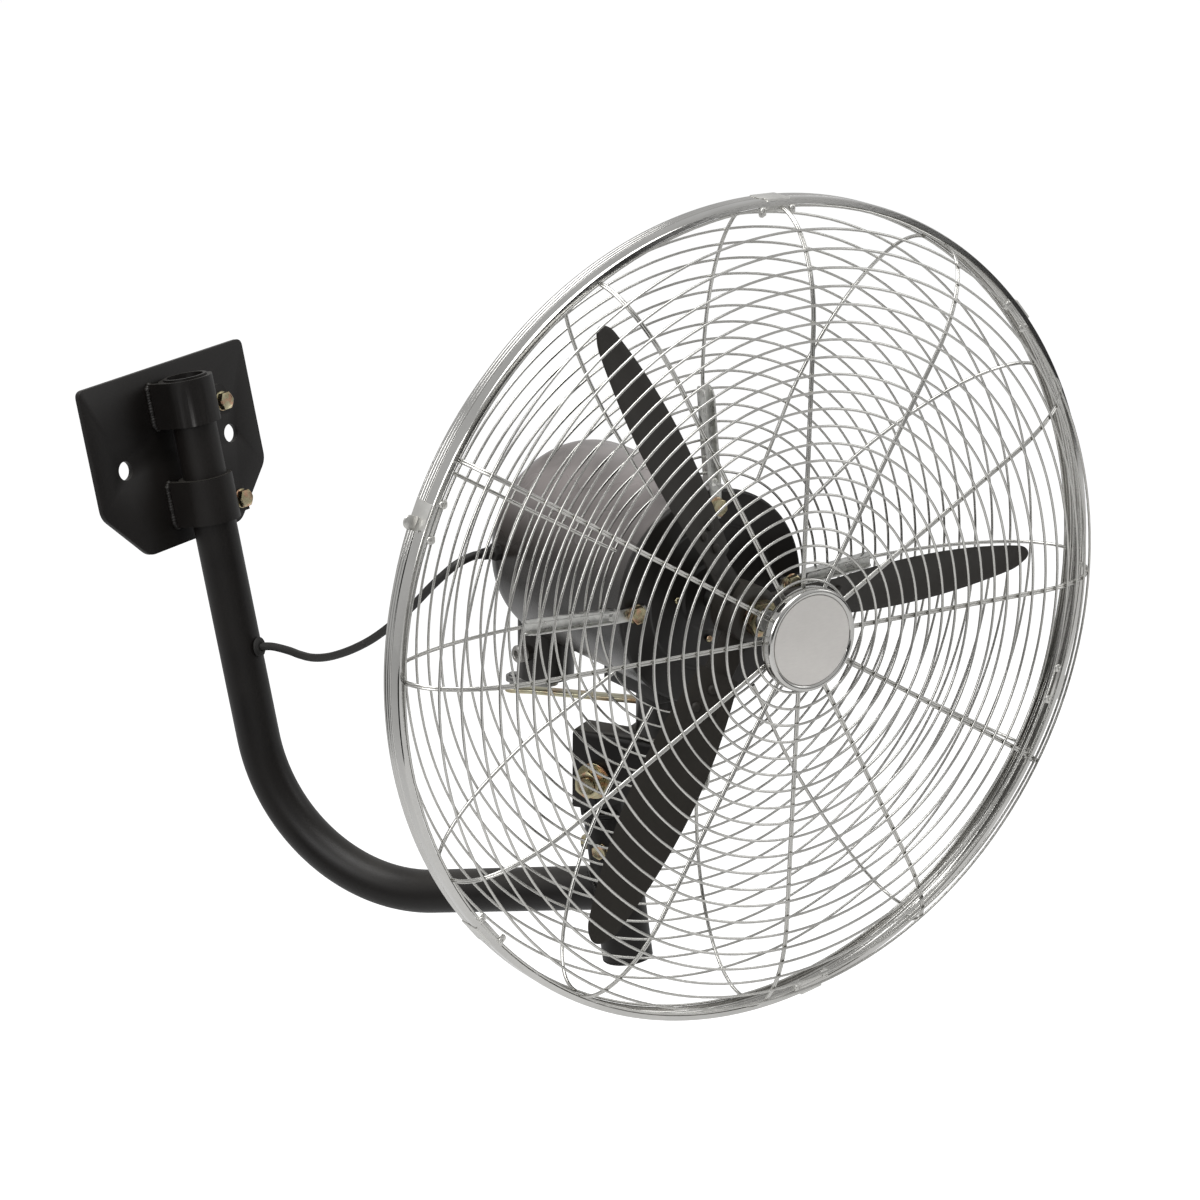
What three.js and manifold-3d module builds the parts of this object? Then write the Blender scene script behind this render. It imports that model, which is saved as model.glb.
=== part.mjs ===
// Wall mounted oscillating fan on a bent pipe arm. Millimetres, +Z up. The origin is the centre of
// the wall plate's back face: +Y points into the wall, -Y into the room, +X to the right.
import * as THREE from "three";
import { mergeVertices } from "three/addons/utils/BufferGeometryUtils.js";
import Module from "manifold-3d";

const wasm = await Module();
wasm.setup();

// ---- clearances ----------------------------------------------------------------------------------
const FIT = 0.3; // between faces that touch on the real object
const RUN = 0.5; // around what turns inside another piece
const WELD = 1e-4; // vertices nearer than this are one
const PAST = 20; // how far a cutting tool runs past what it cuts

// ---- wall plate ----------------------------------------------------------------------------------
const PLATE_WIDTH = 232;
const PLATE_HEIGHT = 175;
const PLATE_THICKNESS = 6;
const PLATE_CORNER = 8;
const PLATE_CHAMFER = 50;
const SCREW_HOLE_RADIUS = 9;
const SCREW_SPACING = 151;

// ---- arm tube and its two collars ----------------------------------------------------------------
const TUBE_RADIUS = 21.2;
const TUBE_WALL = 3.2;
const TUBE_STANDOFF = 34; // tube axis in front of the plate's back face
const TUBE_TOP = 75;
const ARM_DROP = 456.2;
const ARM_REACH = 370;
const ARM_BEND = 165;
const ARM_TURN = 10.5; // degrees, arm swivelled towards +X at rest
const COLLAR_WALL = 5;
const COLLAR_HEIGHT = 45;
const COLLAR_BOTTOMS = { upper: 28, lower: -70 };
const EAR_REACH = 44; // from the tube axis
const EAR_HEIGHT = 30;
const EAR_THICKNESS = 5;
const EAR_GAP = 5;
const EAR_CORNER = 9;
const CLAMP_BOLT_OFFSET = 35; // from the tube axis
const CLAMP_BOLT_HEIGHT = 13; // above the collar's lower edge
const CLAMP_BOLT = { radius: 4.9, flats: 16, head: 6.4, nut: 8, washerRadius: 9.5, washer: 2, tail: 4 };

// ---- supply lead ---------------------------------------------------------------------------------
const LEAD_RADIUS = 4;
const LEAD_HOLE_Z = -200;
const GROMMET = { flangeRadius: 10, flange: 4, neckRadius: 7 };
const GLAND = { station: -262, height: 6, radius: 7.5, nut: 6, chamfer: 1.5, tipRadius: 5.5, length: 17 };
// The lead's route in the arm's own frame, chosen by hand, from the gland to the grommet.
const LEAD_BENDS = [
  [-58, -296, -117],
  [-63, -283, -125],
  [-65, -267, -136],
  [-64, -249, -149],
  [-61, -229, -162],
  [-57, -208, -174],
  [-52, -186, -185],
  [-46, -163, -194],
  [-39, -140, -201],
  [-31, -117, -206],
  [-22, -95, -208],
  [-12, -75, -207],
  [-4, -57, -204],
];
const LEAD_LEAVES = 10; // straight stretch at each end

// ---- post and tilt joint -------------------------------------------------------------------------
const POST_RADIUS = 24.15;
const POST_WALL = 3;
const POST_BELOW = 71.5;
const POST_ABOVE = 75;
const POST_LEAN = 3; // degrees, towards the room
const END_CAP = { flange: 2.5, plug: 12, round: 1.5 };
const STEM_LENGTH = 53;
const SHOULDER = 5;
const TONGUE_RADIUS = 22;
const TILT_BOLT_HEIGHT = 113; // above the arm axis, along the post
const STEM_SCREW_HEIGHT = 45;
const STEM_SCREW = { radius: 3.9, flats: 13, head: 5.5, depth: 16 };
const TILT = 11.6; // degrees, nose down from the horizontal at rest
const BRACKET = { width: 38, wall: 4, back: 23, front: 85, below: 30, above: 46, bend: 5, toe: 4, nose: 12 };
const TILT_BOLT = { radius: 7.9, flats: 24, head: 10, nut: 13, washerRadius: 17.5, washer: 3, tail: 3 };

// ---- pan joint -----------------------------------------------------------------------------------
const PAN_AHEAD = 60; // pan axis in front of the tilt bolt
const PAN = -30; // degrees, head turned towards -X at rest
const SPINDLE = { radius: 7.9, flangeRadius: 13, flange: 3, flats: 24, nut: 10, tail: 3, reach: 45 };
const THRUST_WASHER = { radius: 16, thickness: 2.5 };
const SHAFT_HEIGHT = 204.5; // above the tilt bolt
const ROTOR_AHEAD = 132; // rotor plane in front of the pan axis

// ---- motor, stations counted from the rotor plane, backwards negative ----------------------------
const CAN = { radius: 98, wall: 3, front: -60.3, back: -298, round: 36, flangeBore: 78, flange: 12 };
const SHIELD = { radius: 100, front: -54, thickness: 6, bevel: 2 };
const SHAFT = { radius: 10, back: -289, front: 32 };
const BEARING = { radius: 20, thickness: 12, seatWall: 8, lip: 2 };
const STATOR = { front: -117, back: -157, bore: 52 };
const AIR_GAP = 0.6;
const WINDING = { inner: 58, outer: 84, length: 20 };
const REAR_PLATE = { front: -214, thickness: 6 };
const LUG = { radius: 24, padWidth: 70, padLength: 90, padHeight: 16, headroom: 1 };

// ---- oscillation drive ---------------------------------------------------------------------------
const CRANK_STATION = -269;
const WORM = { radius: 14.5, length: 38, threads: 4, depth: 2 };
const WHEEL = { radius: 24, thickness: 14, teeth: 24, depth: 2.4 };
const OUTPUT_RADIUS = 6;
const OUTPUT_TAIL = 2; // of the output shaft, below the crank
const HOUSING = { radius: 27, bottom: -128, capSeat: 68 };
const CAP = { radius: 8.5, hole: 4, length: 10, height: -99, station: -262 };
const CRANK = { throw: 31.6, thickness: 6, hubRadius: 12, pinEndRadius: 8, pinRadius: 4.5, gap: 3 };
const CRANK_START = 221.7; // degrees from the fan's axis towards its right, at rest
const LINK = { length: 141.9, thickness: 4, eyeRadius: 9, width: 14, below: 143 };
const LINK_PIVOT = {
  behind: 30,
  aside: 57,
  earRadius: 10,
  shoulder: 7,
  radius: 4,
  shankTop: 1,
  headRadius: 7,
  head: 4,
  tail: 2,
};
const LINK_START = 191.66; // degrees from the bracket's forward direction towards its right, at rest

// ---- rotor ---------------------------------------------------------------------------------------
const ROTOR_RADIUS = 325;
const BLADE_COUNT = 3;
const BLADE_FIRST = 120; // degrees from the fan's right, anticlockwise seen from the front
const BLADE = { root: 60, thickness: 2.5, chord: 60, taper: -8, belly: -31, pitch: 25.5, twist: -3.7 };
const BLADE_STEPS = 12;
const HUB = { bossRadius: 26, bossBack: -26, bossFront: 14, armEnd: 120, armChord: 26, armThickness: 5 };
const HUB_NUT = { flats: 30, thickness: 12 };

// ---- guards --------------------------------------------------------------------------------------
const RIM = { radius: 378, wall: 2, back: -0.7, front: 23.3, lip: 3 };
const WIRE_RADIUS = 2.2;
const RING_COUNT = 7;
const SPOKE_COUNT = 12;
const SPOKE_STEPS = 6;
const REAR_GUARD = { inner: 113, innerStation: -68.6, flat: 200, flatStation: -77 };
const FRONT_GUARD = { inner: 42, innerStation: 80, flat: 270, flatStation: 80 };
const GUARD_ARM = {
  boltCircle: 86,
  inner: 74,
  heel: 104,
  outer: 193,
  width: 12,
  web: 2.5,
  flange: 11.5,
  rise: 13,
};
const GUARD_BOLT = { radius: 3.9, flats: 15, head: 7, washerRadius: 8.6, washer: 1.5, depth: 18 };
const GUARD_ARM_COUNT = 4;
const BADGE = { radius: 47, depth: 14, bezel: 3, lip: 1, round: 2 };

// ---- facet counts --------------------------------------------------------------------------------
const SIDES = 20;
const SMALL_SIDES = 10;
const TUBE_SIDES = 16;
const TUBE_STEPS = 11;
const LEAD_SIDES = 8;
const LEAD_STEPS = 28;
const CAN_SIDES = 36;
const RIM_SIDES = 60;
const RING_SIDES = 24;
const WIRE_SIDES = 3;
const ARC_STEPS = 3;

const HALF_TURN = Math.PI;
const rad = THREE.MathUtils.degToRad;

// ---- materials -----------------------------------------------------------------------------------
function finish(color, roughness, metalness) {
  return new THREE.MeshStandardMaterial({ color, roughness, metalness });
}
const BLACK_COAT = finish(0x2b2824, 0.5, 0.1);
const BLADE_PAINT = finish(0x35322d, 0.6, 0.1);
const MOTOR_PAINT = finish(0x6f6a64, 0.5, 0.2);
const CAST_METAL = finish(0xa8a6a2, 0.5, 0.8);
const ZINC = finish(0xbdb28c, 0.35, 0.9);
const GALVANISED = finish(0xb3b5b4, 0.4, 0.9);
const CHROME = finish(0xd0d2d4, 0.12, 1);
const STEEL = finish(0x9a9a9a, 0.3, 0.9);
const CORE_STEEL = finish(0x55524e, 0.6, 0.6);
const COPPER = finish(0xa8643a, 0.4, 0.8);
const BRONZE = finish(0xb08d57, 0.4, 0.8);
const RUBBER = finish(0x1c1b1a, 0.8, 0);
const LEAD_SHEATH = finish(0x201f1e, 0.6, 0);
const BADGE_METAL = finish(0xc1beb9, 0.3, 0.6);

// ---- solids --------------------------------------------------------------------------------------
function toSolid(geometry) {
  const bare = new THREE.BufferGeometry();
  bare.setAttribute("position", geometry.getAttribute("position").clone());
  if (geometry.index) bare.setIndex(geometry.index.clone());
  const merged = mergeVertices(bare, WELD);
  const corners = merged.index.array;
  const kept = [];
  for (let i = 0; i < corners.length; i += 3) {
    const [a, b, c] = corners.slice(i, i + 3);
    if (a !== b && b !== c && c !== a) kept.push(a, b, c);
  }
  const vertProperties = merged.attributes.position.array;
  const made = (triVerts) => new wasm.Manifold(new wasm.Mesh({ numProp: 3, vertProperties, triVerts }));
  const solid = made(new Uint32Array(kept));
  return solid.volume() < 0 ? made(new Uint32Array(kept.reverse())) : solid;
}

function toGeometry(solid) {
  const mesh = solid.getMesh();
  const geometry = new THREE.BufferGeometry();
  geometry.setAttribute("position", new THREE.BufferAttribute(mesh.vertProperties, 3));
  geometry.setIndex(new THREE.BufferAttribute(mesh.triVerts, 1));
  geometry.computeVertexNormals();
  return geometry;
}

function joined(...geometries) {
  return toGeometry(geometries.map(toSolid).reduce((whole, next) => whole.add(next)));
}

function cut(geometry, ...tools) {
  return toGeometry(tools.map(toSolid).reduce((left, tool) => left.subtract(tool), toSolid(geometry)));
}

// A rod along Z from one height to another.
function rod(radius, from, to, sides = SIDES) {
  const length = to - from;
  return new THREE.CylinderGeometry(radius, radius, length, sides)
    .rotateX(HALF_TURN / 2)
    .translate(0, 0, from + length / 2);
}

const hexRadius = (flats) => flats / Math.sqrt(3);

function hexagon(flats, from, to) {
  return rod(hexRadius(flats), from, to, 6);
}

// A body turned about Z from [radius, z] points that start and end on the axis or close on themselves.
function turned(points, sides = SIDES) {
  const profile = points.map(([r, z]) => new THREE.Vector2(r, z));
  return toGeometry(toSolid(new THREE.LatheGeometry(profile, sides).rotateX(HALF_TURN / 2)));
}

function ringBody(inner, outer, from, to, sides = SIDES) {
  return turned([[inner, from], [outer, from], [outer, to], [inner, to], [inner, from]], sides);
}

function block(x, y, z) {
  return new THREE.BoxGeometry(x[1] - x[0], y[1] - y[0], z[1] - z[0])
    .translate((x[0] + x[1]) / 2, (y[0] + y[1]) / 2, (z[0] + z[1]) / 2);
}

function polygon(points) {
  return new THREE.Shape(points.map(([x, y]) => new THREE.Vector2(x, y)));
}

function circle(x, y, radius, sides) {
  return Array.from({ length: sides }, (_, i) => {
    const angle = (2 * HALF_TURN * i) / sides;
    return new THREE.Vector2(x + radius * Math.cos(angle), y + radius * Math.sin(angle));
  });
}

function roundedPolygon(points, radius) {
  const shape = new THREE.Shape();
  points.forEach(([x, y], i) => {
    const corner = new THREE.Vector2(x, y);
    const towards = (next) => new THREE.Vector2(...next).sub(corner).setLength(radius).add(corner);
    const before = towards(points.at(i - 1));
    const after = towards(points[(i + 1) % points.length]);
    if (i) shape.lineTo(before.x, before.y);
    else shape.moveTo(before.x, before.y);
    shape.quadraticCurveTo(corner.x, corner.y, after.x, after.y);
  });
  return shape;
}

function extruded(shape, depth) {
  const settings = { depth, bevelEnabled: false, curveSegments: ARC_STEPS };
  return toGeometry(toSolid(new THREE.ExtrudeGeometry(shape, settings)));
}

function swept(radius, bore, path, steps, sides) {
  const shape = new THREE.Shape(circle(0, 0, radius, sides));
  if (bore) shape.holes.push(new THREE.Path(circle(0, 0, bore, sides)));
  return toGeometry(toSolid(new THREE.ExtrudeGeometry(shape, { extrudePath: path, steps })));
}

// A quarter arc of points from angle a to angle b, in degrees, about a centre.
function arc(centre, radius, a, b, steps = ARC_STEPS) {
  return Array.from({ length: steps + 1 }, (_, i) => {
    const angle = rad(a + ((b - a) * i) / steps);
    return [centre[0] + radius * Math.cos(angle), centre[1] + radius * Math.sin(angle)];
  });
}

function flatBar(length, width, endRadius, otherRadius, thickness) {
  return joined(
    rod(endRadius, 0, thickness),
    rod(otherRadius, 0, thickness).translate(length, 0, 0),
    block([0, length], [-width / 2, width / 2], [0, thickness]),
  );
}

// ---- scene graph ---------------------------------------------------------------------------------
function group(parent, position, rotation = [0, 0, 0]) {
  const made = new THREE.Group();
  made.position.set(...position);
  made.rotation.set(...rotation.map(rad));
  parent.add(made);
  return made;
}

function piece(parent, name, geometry, material) {
  const mesh = new THREE.Mesh(geometry, material);
  mesh.name = name;
  parent.add(mesh);
}

const fan = new THREE.Group();
const arm = group(fan, [0, -TUBE_STANDOFF, 0], [0, 0, ARM_TURN]); // -Y runs along the arm
const post = group(arm, [0, -ARM_REACH, -ARM_DROP], [POST_LEAN, 0, 0]);
const neck = group(post, [0, 0, TILT_BOLT_HEIGHT], [TILT - POST_LEAN, 0, 0]); // -Y runs forwards
const head = group(neck, [0, -PAN_AHEAD, 0], [0, 0, PAN]);
const motor = group(head, [0, -ROTOR_AHEAD, SHAFT_HEIGHT], [90, 0, 0]); // +Z runs forwards, +Y up

// ---- wall plate and collars ----------------------------------------------------------------------
function wallPlate() {
  const [w, h, c] = [PLATE_WIDTH / 2, PLATE_HEIGHT / 2, PLATE_CHAMFER];
  const corners = [[-w, h], [w, h], [w, c - h], [w - c, -h], [c - w, -h], [-w, c - h]];
  const outline = roundedPolygon(corners, PLATE_CORNER);
  for (const side of [-1, 1]) {
    outline.holes.push(new THREE.Path(circle((side * SCREW_SPACING) / 2, 0, SCREW_HOLE_RADIUS, SIDES)));
  }
  return extruded(outline, PLATE_THICKNESS).rotateX(HALF_TURN / 2);
}

// A strap bent round the tube, with one leg back to the plate and two ears for the clamp bolt.
function collar() {
  const bore = TUBE_RADIUS + FIT;
  const outer = bore + COLLAR_WALL;
  const legEnd = TUBE_STANDOFF - PLATE_THICKNESS - FIT;
  const ears = extruded(
    polygon([
      [bore, 0],
      [EAR_REACH, 0],
      [EAR_REACH, EAR_HEIGHT - EAR_CORNER],
      [EAR_REACH - EAR_CORNER, EAR_HEIGHT],
      [bore, EAR_HEIGHT],
    ]),
    EAR_GAP + 2 * EAR_THICKNESS,
  )
    .rotateX(HALF_TURN / 2)
    .translate(0, EAR_GAP / 2 + EAR_THICKNESS, 0);
  const strap = joined(
    rod(outer, 0, COLLAR_HEIGHT),
    block([-outer, -bore], [0, legEnd], [0, COLLAR_HEIGHT]),
    ears,
  );
  const past = [-PAST, COLLAR_HEIGHT + PAST];
  return cut(
    strap,
    rod(bore, ...past),
    block([0, EAR_REACH + PAST], [-EAR_GAP / 2, EAR_GAP / 2], past),
    rod(CLAMP_BOLT.radius + FIT, -PAST, PAST, SMALL_SIDES)
      .rotateX(HALF_TURN / 2)
      .translate(CLAMP_BOLT_OFFSET, 0, CLAMP_BOLT_HEIGHT),
  );
}

// A hexagon bolt along Z: its head's seat at 0, the shank below.
function hexBolt({ radius, flats, head: headHeight, washerRadius, washer }, shank) {
  return joined(
    rod(radius, -shank, washer / 2, SMALL_SIDES),
    rod(washerRadius, 0, washer, SMALL_SIDES),
    hexagon(flats, washer / 2, washer + headHeight),
  );
}

function hexNut({ radius, flats, nut }, sides = SMALL_SIDES) {
  return cut(hexagon(flats, 0, nut), rod(radius + FIT, -PAST, PAST, sides));
}

function washerRing({ radius, washerRadius, washer }) {
  return ringBody(radius + FIT, washerRadius, 0, washer);
}

function buildMount() {
  piece(fan, "wall_plate", wallPlate(), BLACK_COAT);
  const earFace = EAR_GAP / 2 + EAR_THICKNESS + FIT;
  const shank = 2 * earFace + CLAMP_BOLT.nut + CLAMP_BOLT.tail;
  for (const [name, bottom] of Object.entries(COLLAR_BOTTOMS)) {
    const seat = group(fan, [0, -TUBE_STANDOFF, bottom]);
    piece(seat, `${name}_collar`, collar(), BLACK_COAT);
    const bolt = group(seat, [CLAMP_BOLT_OFFSET, -earFace, CLAMP_BOLT_HEIGHT], [90, 0, 0]);
    piece(bolt, `${name}_clamp_bolt`, hexBolt(CLAMP_BOLT, shank), ZINC);
    const nut = group(seat, [CLAMP_BOLT_OFFSET, earFace, CLAMP_BOLT_HEIGHT], [-90, 0, 0]);
    piece(nut, `${name}_clamp_nut`, hexNut(CLAMP_BOLT), ZINC);
  }
}

// ---- arm, post and lead --------------------------------------------------------------------------
// The arm's centre line: straight down, a quarter bend, straight out. Its even steps fall in the bend.
class ArmLine extends THREE.Curve {
  constructor(steps) {
    super();
    this.steps = steps;
  }

  angleAt(u) {
    return THREE.MathUtils.clamp((u * this.steps - 1) / (this.steps - 2), 0, 1) * (HALF_TURN / 2);
  }

  getPointAt(u) {
    if (u * this.steps < 0.5) return new THREE.Vector3(0, 0, TUBE_TOP);
    if (u * this.steps > this.steps - 0.5) return new THREE.Vector3(0, -ARM_REACH, -ARM_DROP);
    const angle = this.angleAt(u);
    return new THREE.Vector3(
      0,
      ARM_BEND * (Math.cos(angle) - 1),
      ARM_BEND * (1 - Math.sin(angle)) - ARM_DROP,
    );
  }

  getTangentAt(u) {
    const angle = this.angleAt(u);
    return new THREE.Vector3(0, -Math.sin(angle), -Math.cos(angle));
  }
}

function armTube() {
  const line = new ArmLine(TUBE_STEPS);
  const tube = swept(TUBE_RADIUS, TUBE_RADIUS - TUBE_WALL, line, TUBE_STEPS, TUBE_SIDES);
  const postSpace = rod(POST_RADIUS + FIT, -POST_BELOW, POST_ABOVE)
    .rotateX(rad(POST_LEAN))
    .translate(0, -ARM_REACH, -ARM_DROP);
  const leadHole = rod(GROMMET.neckRadius + FIT, 0, TUBE_RADIUS + PAST, SMALL_SIDES)
    .rotateX(HALF_TURN / 2)
    .translate(0, 0, LEAD_HOLE_Z);
  return cut(tube, postSpace, leadHole);
}

function grommet() {
  const bore = LEAD_RADIUS + RUN;
  const { neckRadius, flangeRadius, flange } = GROMMET;
  return turned([
    [bore, -TUBE_WALL],
    [neckRadius, -TUBE_WALL],
    [neckRadius, FIT],
    [flangeRadius, FIT],
    [flangeRadius, flange / 2],
    [neckRadius, flange],
    [bore, flange],
    [bore, -TUBE_WALL],
  ], SMALL_SIDES);
}

// From the gland's tip to the lead's place inside the grommet, both in the arm's frame.
function leadCurve() {
  const { station, height, length } = GLAND;
  const tip = new THREE.Vector3(-CAN.radius - length - FIT, height, station);
  const out = new THREE.Vector3(-CAN.radius - length - LEAD_LEAVES, height, station);
  fan.updateMatrixWorld(true);
  for (const point of [tip, out]) arm.worldToLocal(motor.localToWorld(point));
  const grommetEnd = new THREE.Vector3(0, TUBE_WALL - TUBE_RADIUS, LEAD_HOLE_Z);
  const grommetOut = new THREE.Vector3(0, -TUBE_RADIUS - GROMMET.flange - LEAD_LEAVES, LEAD_HOLE_Z);
  const bends = LEAD_BENDS.map((point) => new THREE.Vector3(...point));
  return new THREE.CatmullRomCurve3([tip, out, ...bends, grommetOut, grommetEnd], false, "centripetal");
}

function buildArm() {
  piece(arm, "arm_tube", armTube(), BLACK_COAT);
  const seat = group(arm, [0, -TUBE_RADIUS, LEAD_HOLE_Z], [90, 0, 0]);
  piece(seat, "lead_grommet", grommet(), RUBBER);
  piece(arm, "supply_lead", swept(LEAD_RADIUS, 0, leadCurve(), LEAD_STEPS, LEAD_SIDES), LEAD_SHEATH);
}

// The stem screws stand square to the post: one on its left, one on its wall side.
const STEM_SCREW_TURNS = { side: [0, -90, 0], rear: [-90, 0, 0] };

function stemScrewTool(turn, radius) {
  return rod(radius, 0, POST_RADIUS + PAST, SMALL_SIDES)
    .applyMatrix4(new THREE.Matrix4().makeRotationFromEuler(new THREE.Euler(...turn.map(rad))))
    .translate(0, 0, STEM_SCREW_HEIGHT);
}

function postTube() {
  const tube = ringBody(POST_RADIUS - POST_WALL, POST_RADIUS, END_CAP.flange + FIT - POST_BELOW, POST_ABOVE);
  const holes = Object.values(STEM_SCREW_TURNS).map((turn) => stemScrewTool(turn, STEM_SCREW.radius + FIT));
  return cut(tube, ...holes);
}

function endCap() {
  const bottom = -POST_BELOW;
  const plugRadius = POST_RADIUS - POST_WALL - FIT;
  return turned([
    [0, bottom],
    [POST_RADIUS - END_CAP.round, bottom],
    [POST_RADIUS, bottom + END_CAP.round],
    [POST_RADIUS, bottom + END_CAP.flange],
    [plugRadius, bottom + END_CAP.flange],
    [plugRadius, bottom + END_CAP.plug],
    [0, bottom + END_CAP.plug],
  ]);
}

function tiltKnuckle() {
  const stemRadius = POST_RADIUS - POST_WALL - FIT;
  const half = BRACKET.width / 2 - BRACKET.wall - FIT;
  const shoulderTop = POST_ABOVE + FIT + SHOULDER;
  const tongue = joined(
    block([-half, half], [-TONGUE_RADIUS, TONGUE_RADIUS], [shoulderTop - SHOULDER / 2, TILT_BOLT_HEIGHT]),
    rod(TONGUE_RADIUS, -half, half).rotateY(HALF_TURN / 2).translate(0, 0, TILT_BOLT_HEIGHT),
  );
  const body = joined(
    rod(stemRadius, POST_ABOVE - STEM_LENGTH, POST_ABOVE + SHOULDER / 2),
    rod(POST_RADIUS, POST_ABOVE + FIT, shoulderTop),
    tongue,
  );
  const boltHole = rod(TILT_BOLT.radius + FIT, -PAST, PAST, SIDES)
    .rotateY(HALF_TURN / 2)
    .translate(0, 0, TILT_BOLT_HEIGHT);
  const holes = Object.values(STEM_SCREW_TURNS).map((turn) => stemScrewTool(turn, STEM_SCREW.radius + FIT));
  return cut(body, boltHole, ...holes);
}

function buildPost() {
  piece(post, "post_tube", postTube(), BLACK_COAT);
  piece(post, "post_end_cap", endCap(), BLACK_COAT);
  piece(post, "tilt_knuckle", tiltKnuckle(), BLACK_COAT);
  const screw = { ...STEM_SCREW, washerRadius: STEM_SCREW.flats / 2, washer: 1 };
  for (const [name, turn] of Object.entries(STEM_SCREW_TURNS)) {
    const at = group(post, [0, 0, STEM_SCREW_HEIGHT], turn);
    const geometry = hexBolt(screw, STEM_SCREW.depth).translate(0, 0, POST_RADIUS + FIT);
    piece(at, `knuckle_screw_${name}`, geometry, ZINC);
  }
}

// ---- neck: tilt bracket, its bolt, pan spindle and link ------------------------------------------
// The link's pivot in the neck's frame.
const PIVOT_X = LINK_PIVOT.aside;
const PIVOT_Y = LINK_PIVOT.behind - PAN_AHEAD;

function tiltBracket() {
  const { width, wall, back, front, below, above, bend, toe, nose } = BRACKET;
  const [w, v] = [width / 2, width / 2 - wall];
  const section = polygon([
    [-w, -below],
    ...arc([bend - w, above - bend], bend, 180, 90),
    ...arc([w - bend, above - bend], bend, 90, 0),
    [w, -below],
    [v, -below],
    [v, above - wall],
    [-v, above - wall],
    [-v, -below],
  ]);
  const channel = extruded(section, back + front).rotateX(HALF_TURN / 2).translate(0, back, 0);
  const { earRadius } = LINK_PIVOT;
  const ear = joined(
    block([0, PIVOT_X], [PIVOT_Y - earRadius, PIVOT_Y + earRadius], [above - wall, above]),
    rod(earRadius, above - wall, above).translate(PIVOT_X, PIVOT_Y, 0),
  );
  // The cheeks' lower edge rises towards the front, clear of the post when the head nods.
  const wedge = extruded(
    polygon([
      [toe, -below],
      [front, nose],
      [front + PAST, nose],
      [front + PAST, -below - PAST],
      [toe, -below - PAST],
    ]),
    width + 2 * PAST,
  )
    .rotateX(HALF_TURN / 2)
    .rotateZ(-HALF_TURN / 2)
    .translate(w + PAST, 0, 0);
  return cut(
    joined(channel, ear),
    wedge,
    rod(TILT_BOLT.radius + FIT, -w - PAST, w + PAST).rotateY(HALF_TURN / 2),
    rod(SPINDLE.radius + FIT, 0, above + PAST).translate(0, -PAN_AHEAD, 0),
    rod(LINK_PIVOT.radius + FIT, 0, above + PAST, SMALL_SIDES).translate(PIVOT_X, PIVOT_Y, 0),
  );
}

const LINK_BOTTOM = SHAFT_HEIGHT - LINK.below - LINK.thickness;
const SPINDLE_SEAT = BRACKET.above + FIT;
const WASHER_SEAT = SPINDLE_SEAT + SPINDLE.flange + FIT;
const LUG_BOTTOM = WASHER_SEAT + THRUST_WASHER.thickness + FIT;

function buildNeck() {
  piece(neck, "tilt_bracket", tiltBracket(), BLACK_COAT);
  const cheek = BRACKET.width / 2 + FIT;
  const outside = cheek + TILT_BOLT.washer + FIT;
  const shank = 2 * outside + TILT_BOLT.nut + TILT_BOLT.tail;
  const right = group(neck, [0, 0, 0], [0, 90, 0]);
  piece(right, "tilt_washer_right", washerRing(TILT_BOLT).translate(0, 0, cheek), ZINC);
  const bolt = { ...TILT_BOLT, washerRadius: TILT_BOLT.flats / 2, washer: 1 };
  piece(right, "tilt_bolt", hexBolt(bolt, shank).translate(0, 0, outside), ZINC);
  const left = group(neck, [0, 0, 0], [0, -90, 0]);
  piece(left, "tilt_washer_left", washerRing(TILT_BOLT).translate(0, 0, cheek), ZINC);
  piece(left, "tilt_nut", hexNut(TILT_BOLT).translate(0, 0, outside), ZINC);

  const panAxis = group(neck, [0, -PAN_AHEAD, 0]);
  const under = BRACKET.above - BRACKET.wall - FIT - SPINDLE.nut;
  const spindle = joined(
    rod(SPINDLE.radius, under - SPINDLE.tail, LUG_BOTTOM + SPINDLE.reach),
    rod(SPINDLE.flangeRadius, SPINDLE_SEAT, SPINDLE_SEAT + SPINDLE.flange),
  );
  piece(panAxis, "pan_spindle", spindle, STEEL);
  piece(panAxis, "spindle_nut", hexNut(SPINDLE, SIDES).translate(0, 0, under), ZINC);
  const { radius, thickness } = THRUST_WASHER;
  const thrust = ringBody(SPINDLE.radius + FIT, radius, WASHER_SEAT, WASHER_SEAT + thickness);
  piece(panAxis, "thrust_washer", thrust, BRONZE);

  const pivot = group(neck, [PIVOT_X, PIVOT_Y, 0]);
  const linkTop = LINK_BOTTOM + LINK.thickness;
  const shankFoot = BRACKET.above - BRACKET.wall - LINK_PIVOT.tail;
  const shoulderScrew = joined(
    rod(LINK_PIVOT.radius, shankFoot, linkTop + FIT + LINK_PIVOT.shankTop, SMALL_SIDES),
    rod(LINK_PIVOT.shoulder, BRACKET.above + FIT, LINK_BOTTOM - FIT, SMALL_SIDES),
    rod(LINK_PIVOT.headRadius, linkTop + FIT, linkTop + FIT + LINK_PIVOT.head, SMALL_SIDES),
  );
  piece(pivot, "link_pivot_screw", shoulderScrew, ZINC);
  const link = group(pivot, [0, 0, LINK_BOTTOM], [0, 0, LINK_START - 90]);
  const bar = flatBar(LINK.length, LINK.width, LINK.eyeRadius, LINK.eyeRadius, LINK.thickness);
  piece(link, "link_bar", cut(bar, rod(LINK_PIVOT.radius + FIT, -PAST, PAST, SMALL_SIDES)), STEEL);
}

// ---- motor ---------------------------------------------------------------------------------------
// The can's outside, grown by a clearance, as a solid that others are cut to.
function canSpace(clearance) {
  const { radius, back, round } = CAN;
  return turned([
    [0, back - clearance],
    ...arc([radius - round, back + round], round + clearance, -90, 0),
    [radius + clearance, SHIELD.front],
    [0, SHIELD.front],
  ], CAN_SIDES);
}

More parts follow.
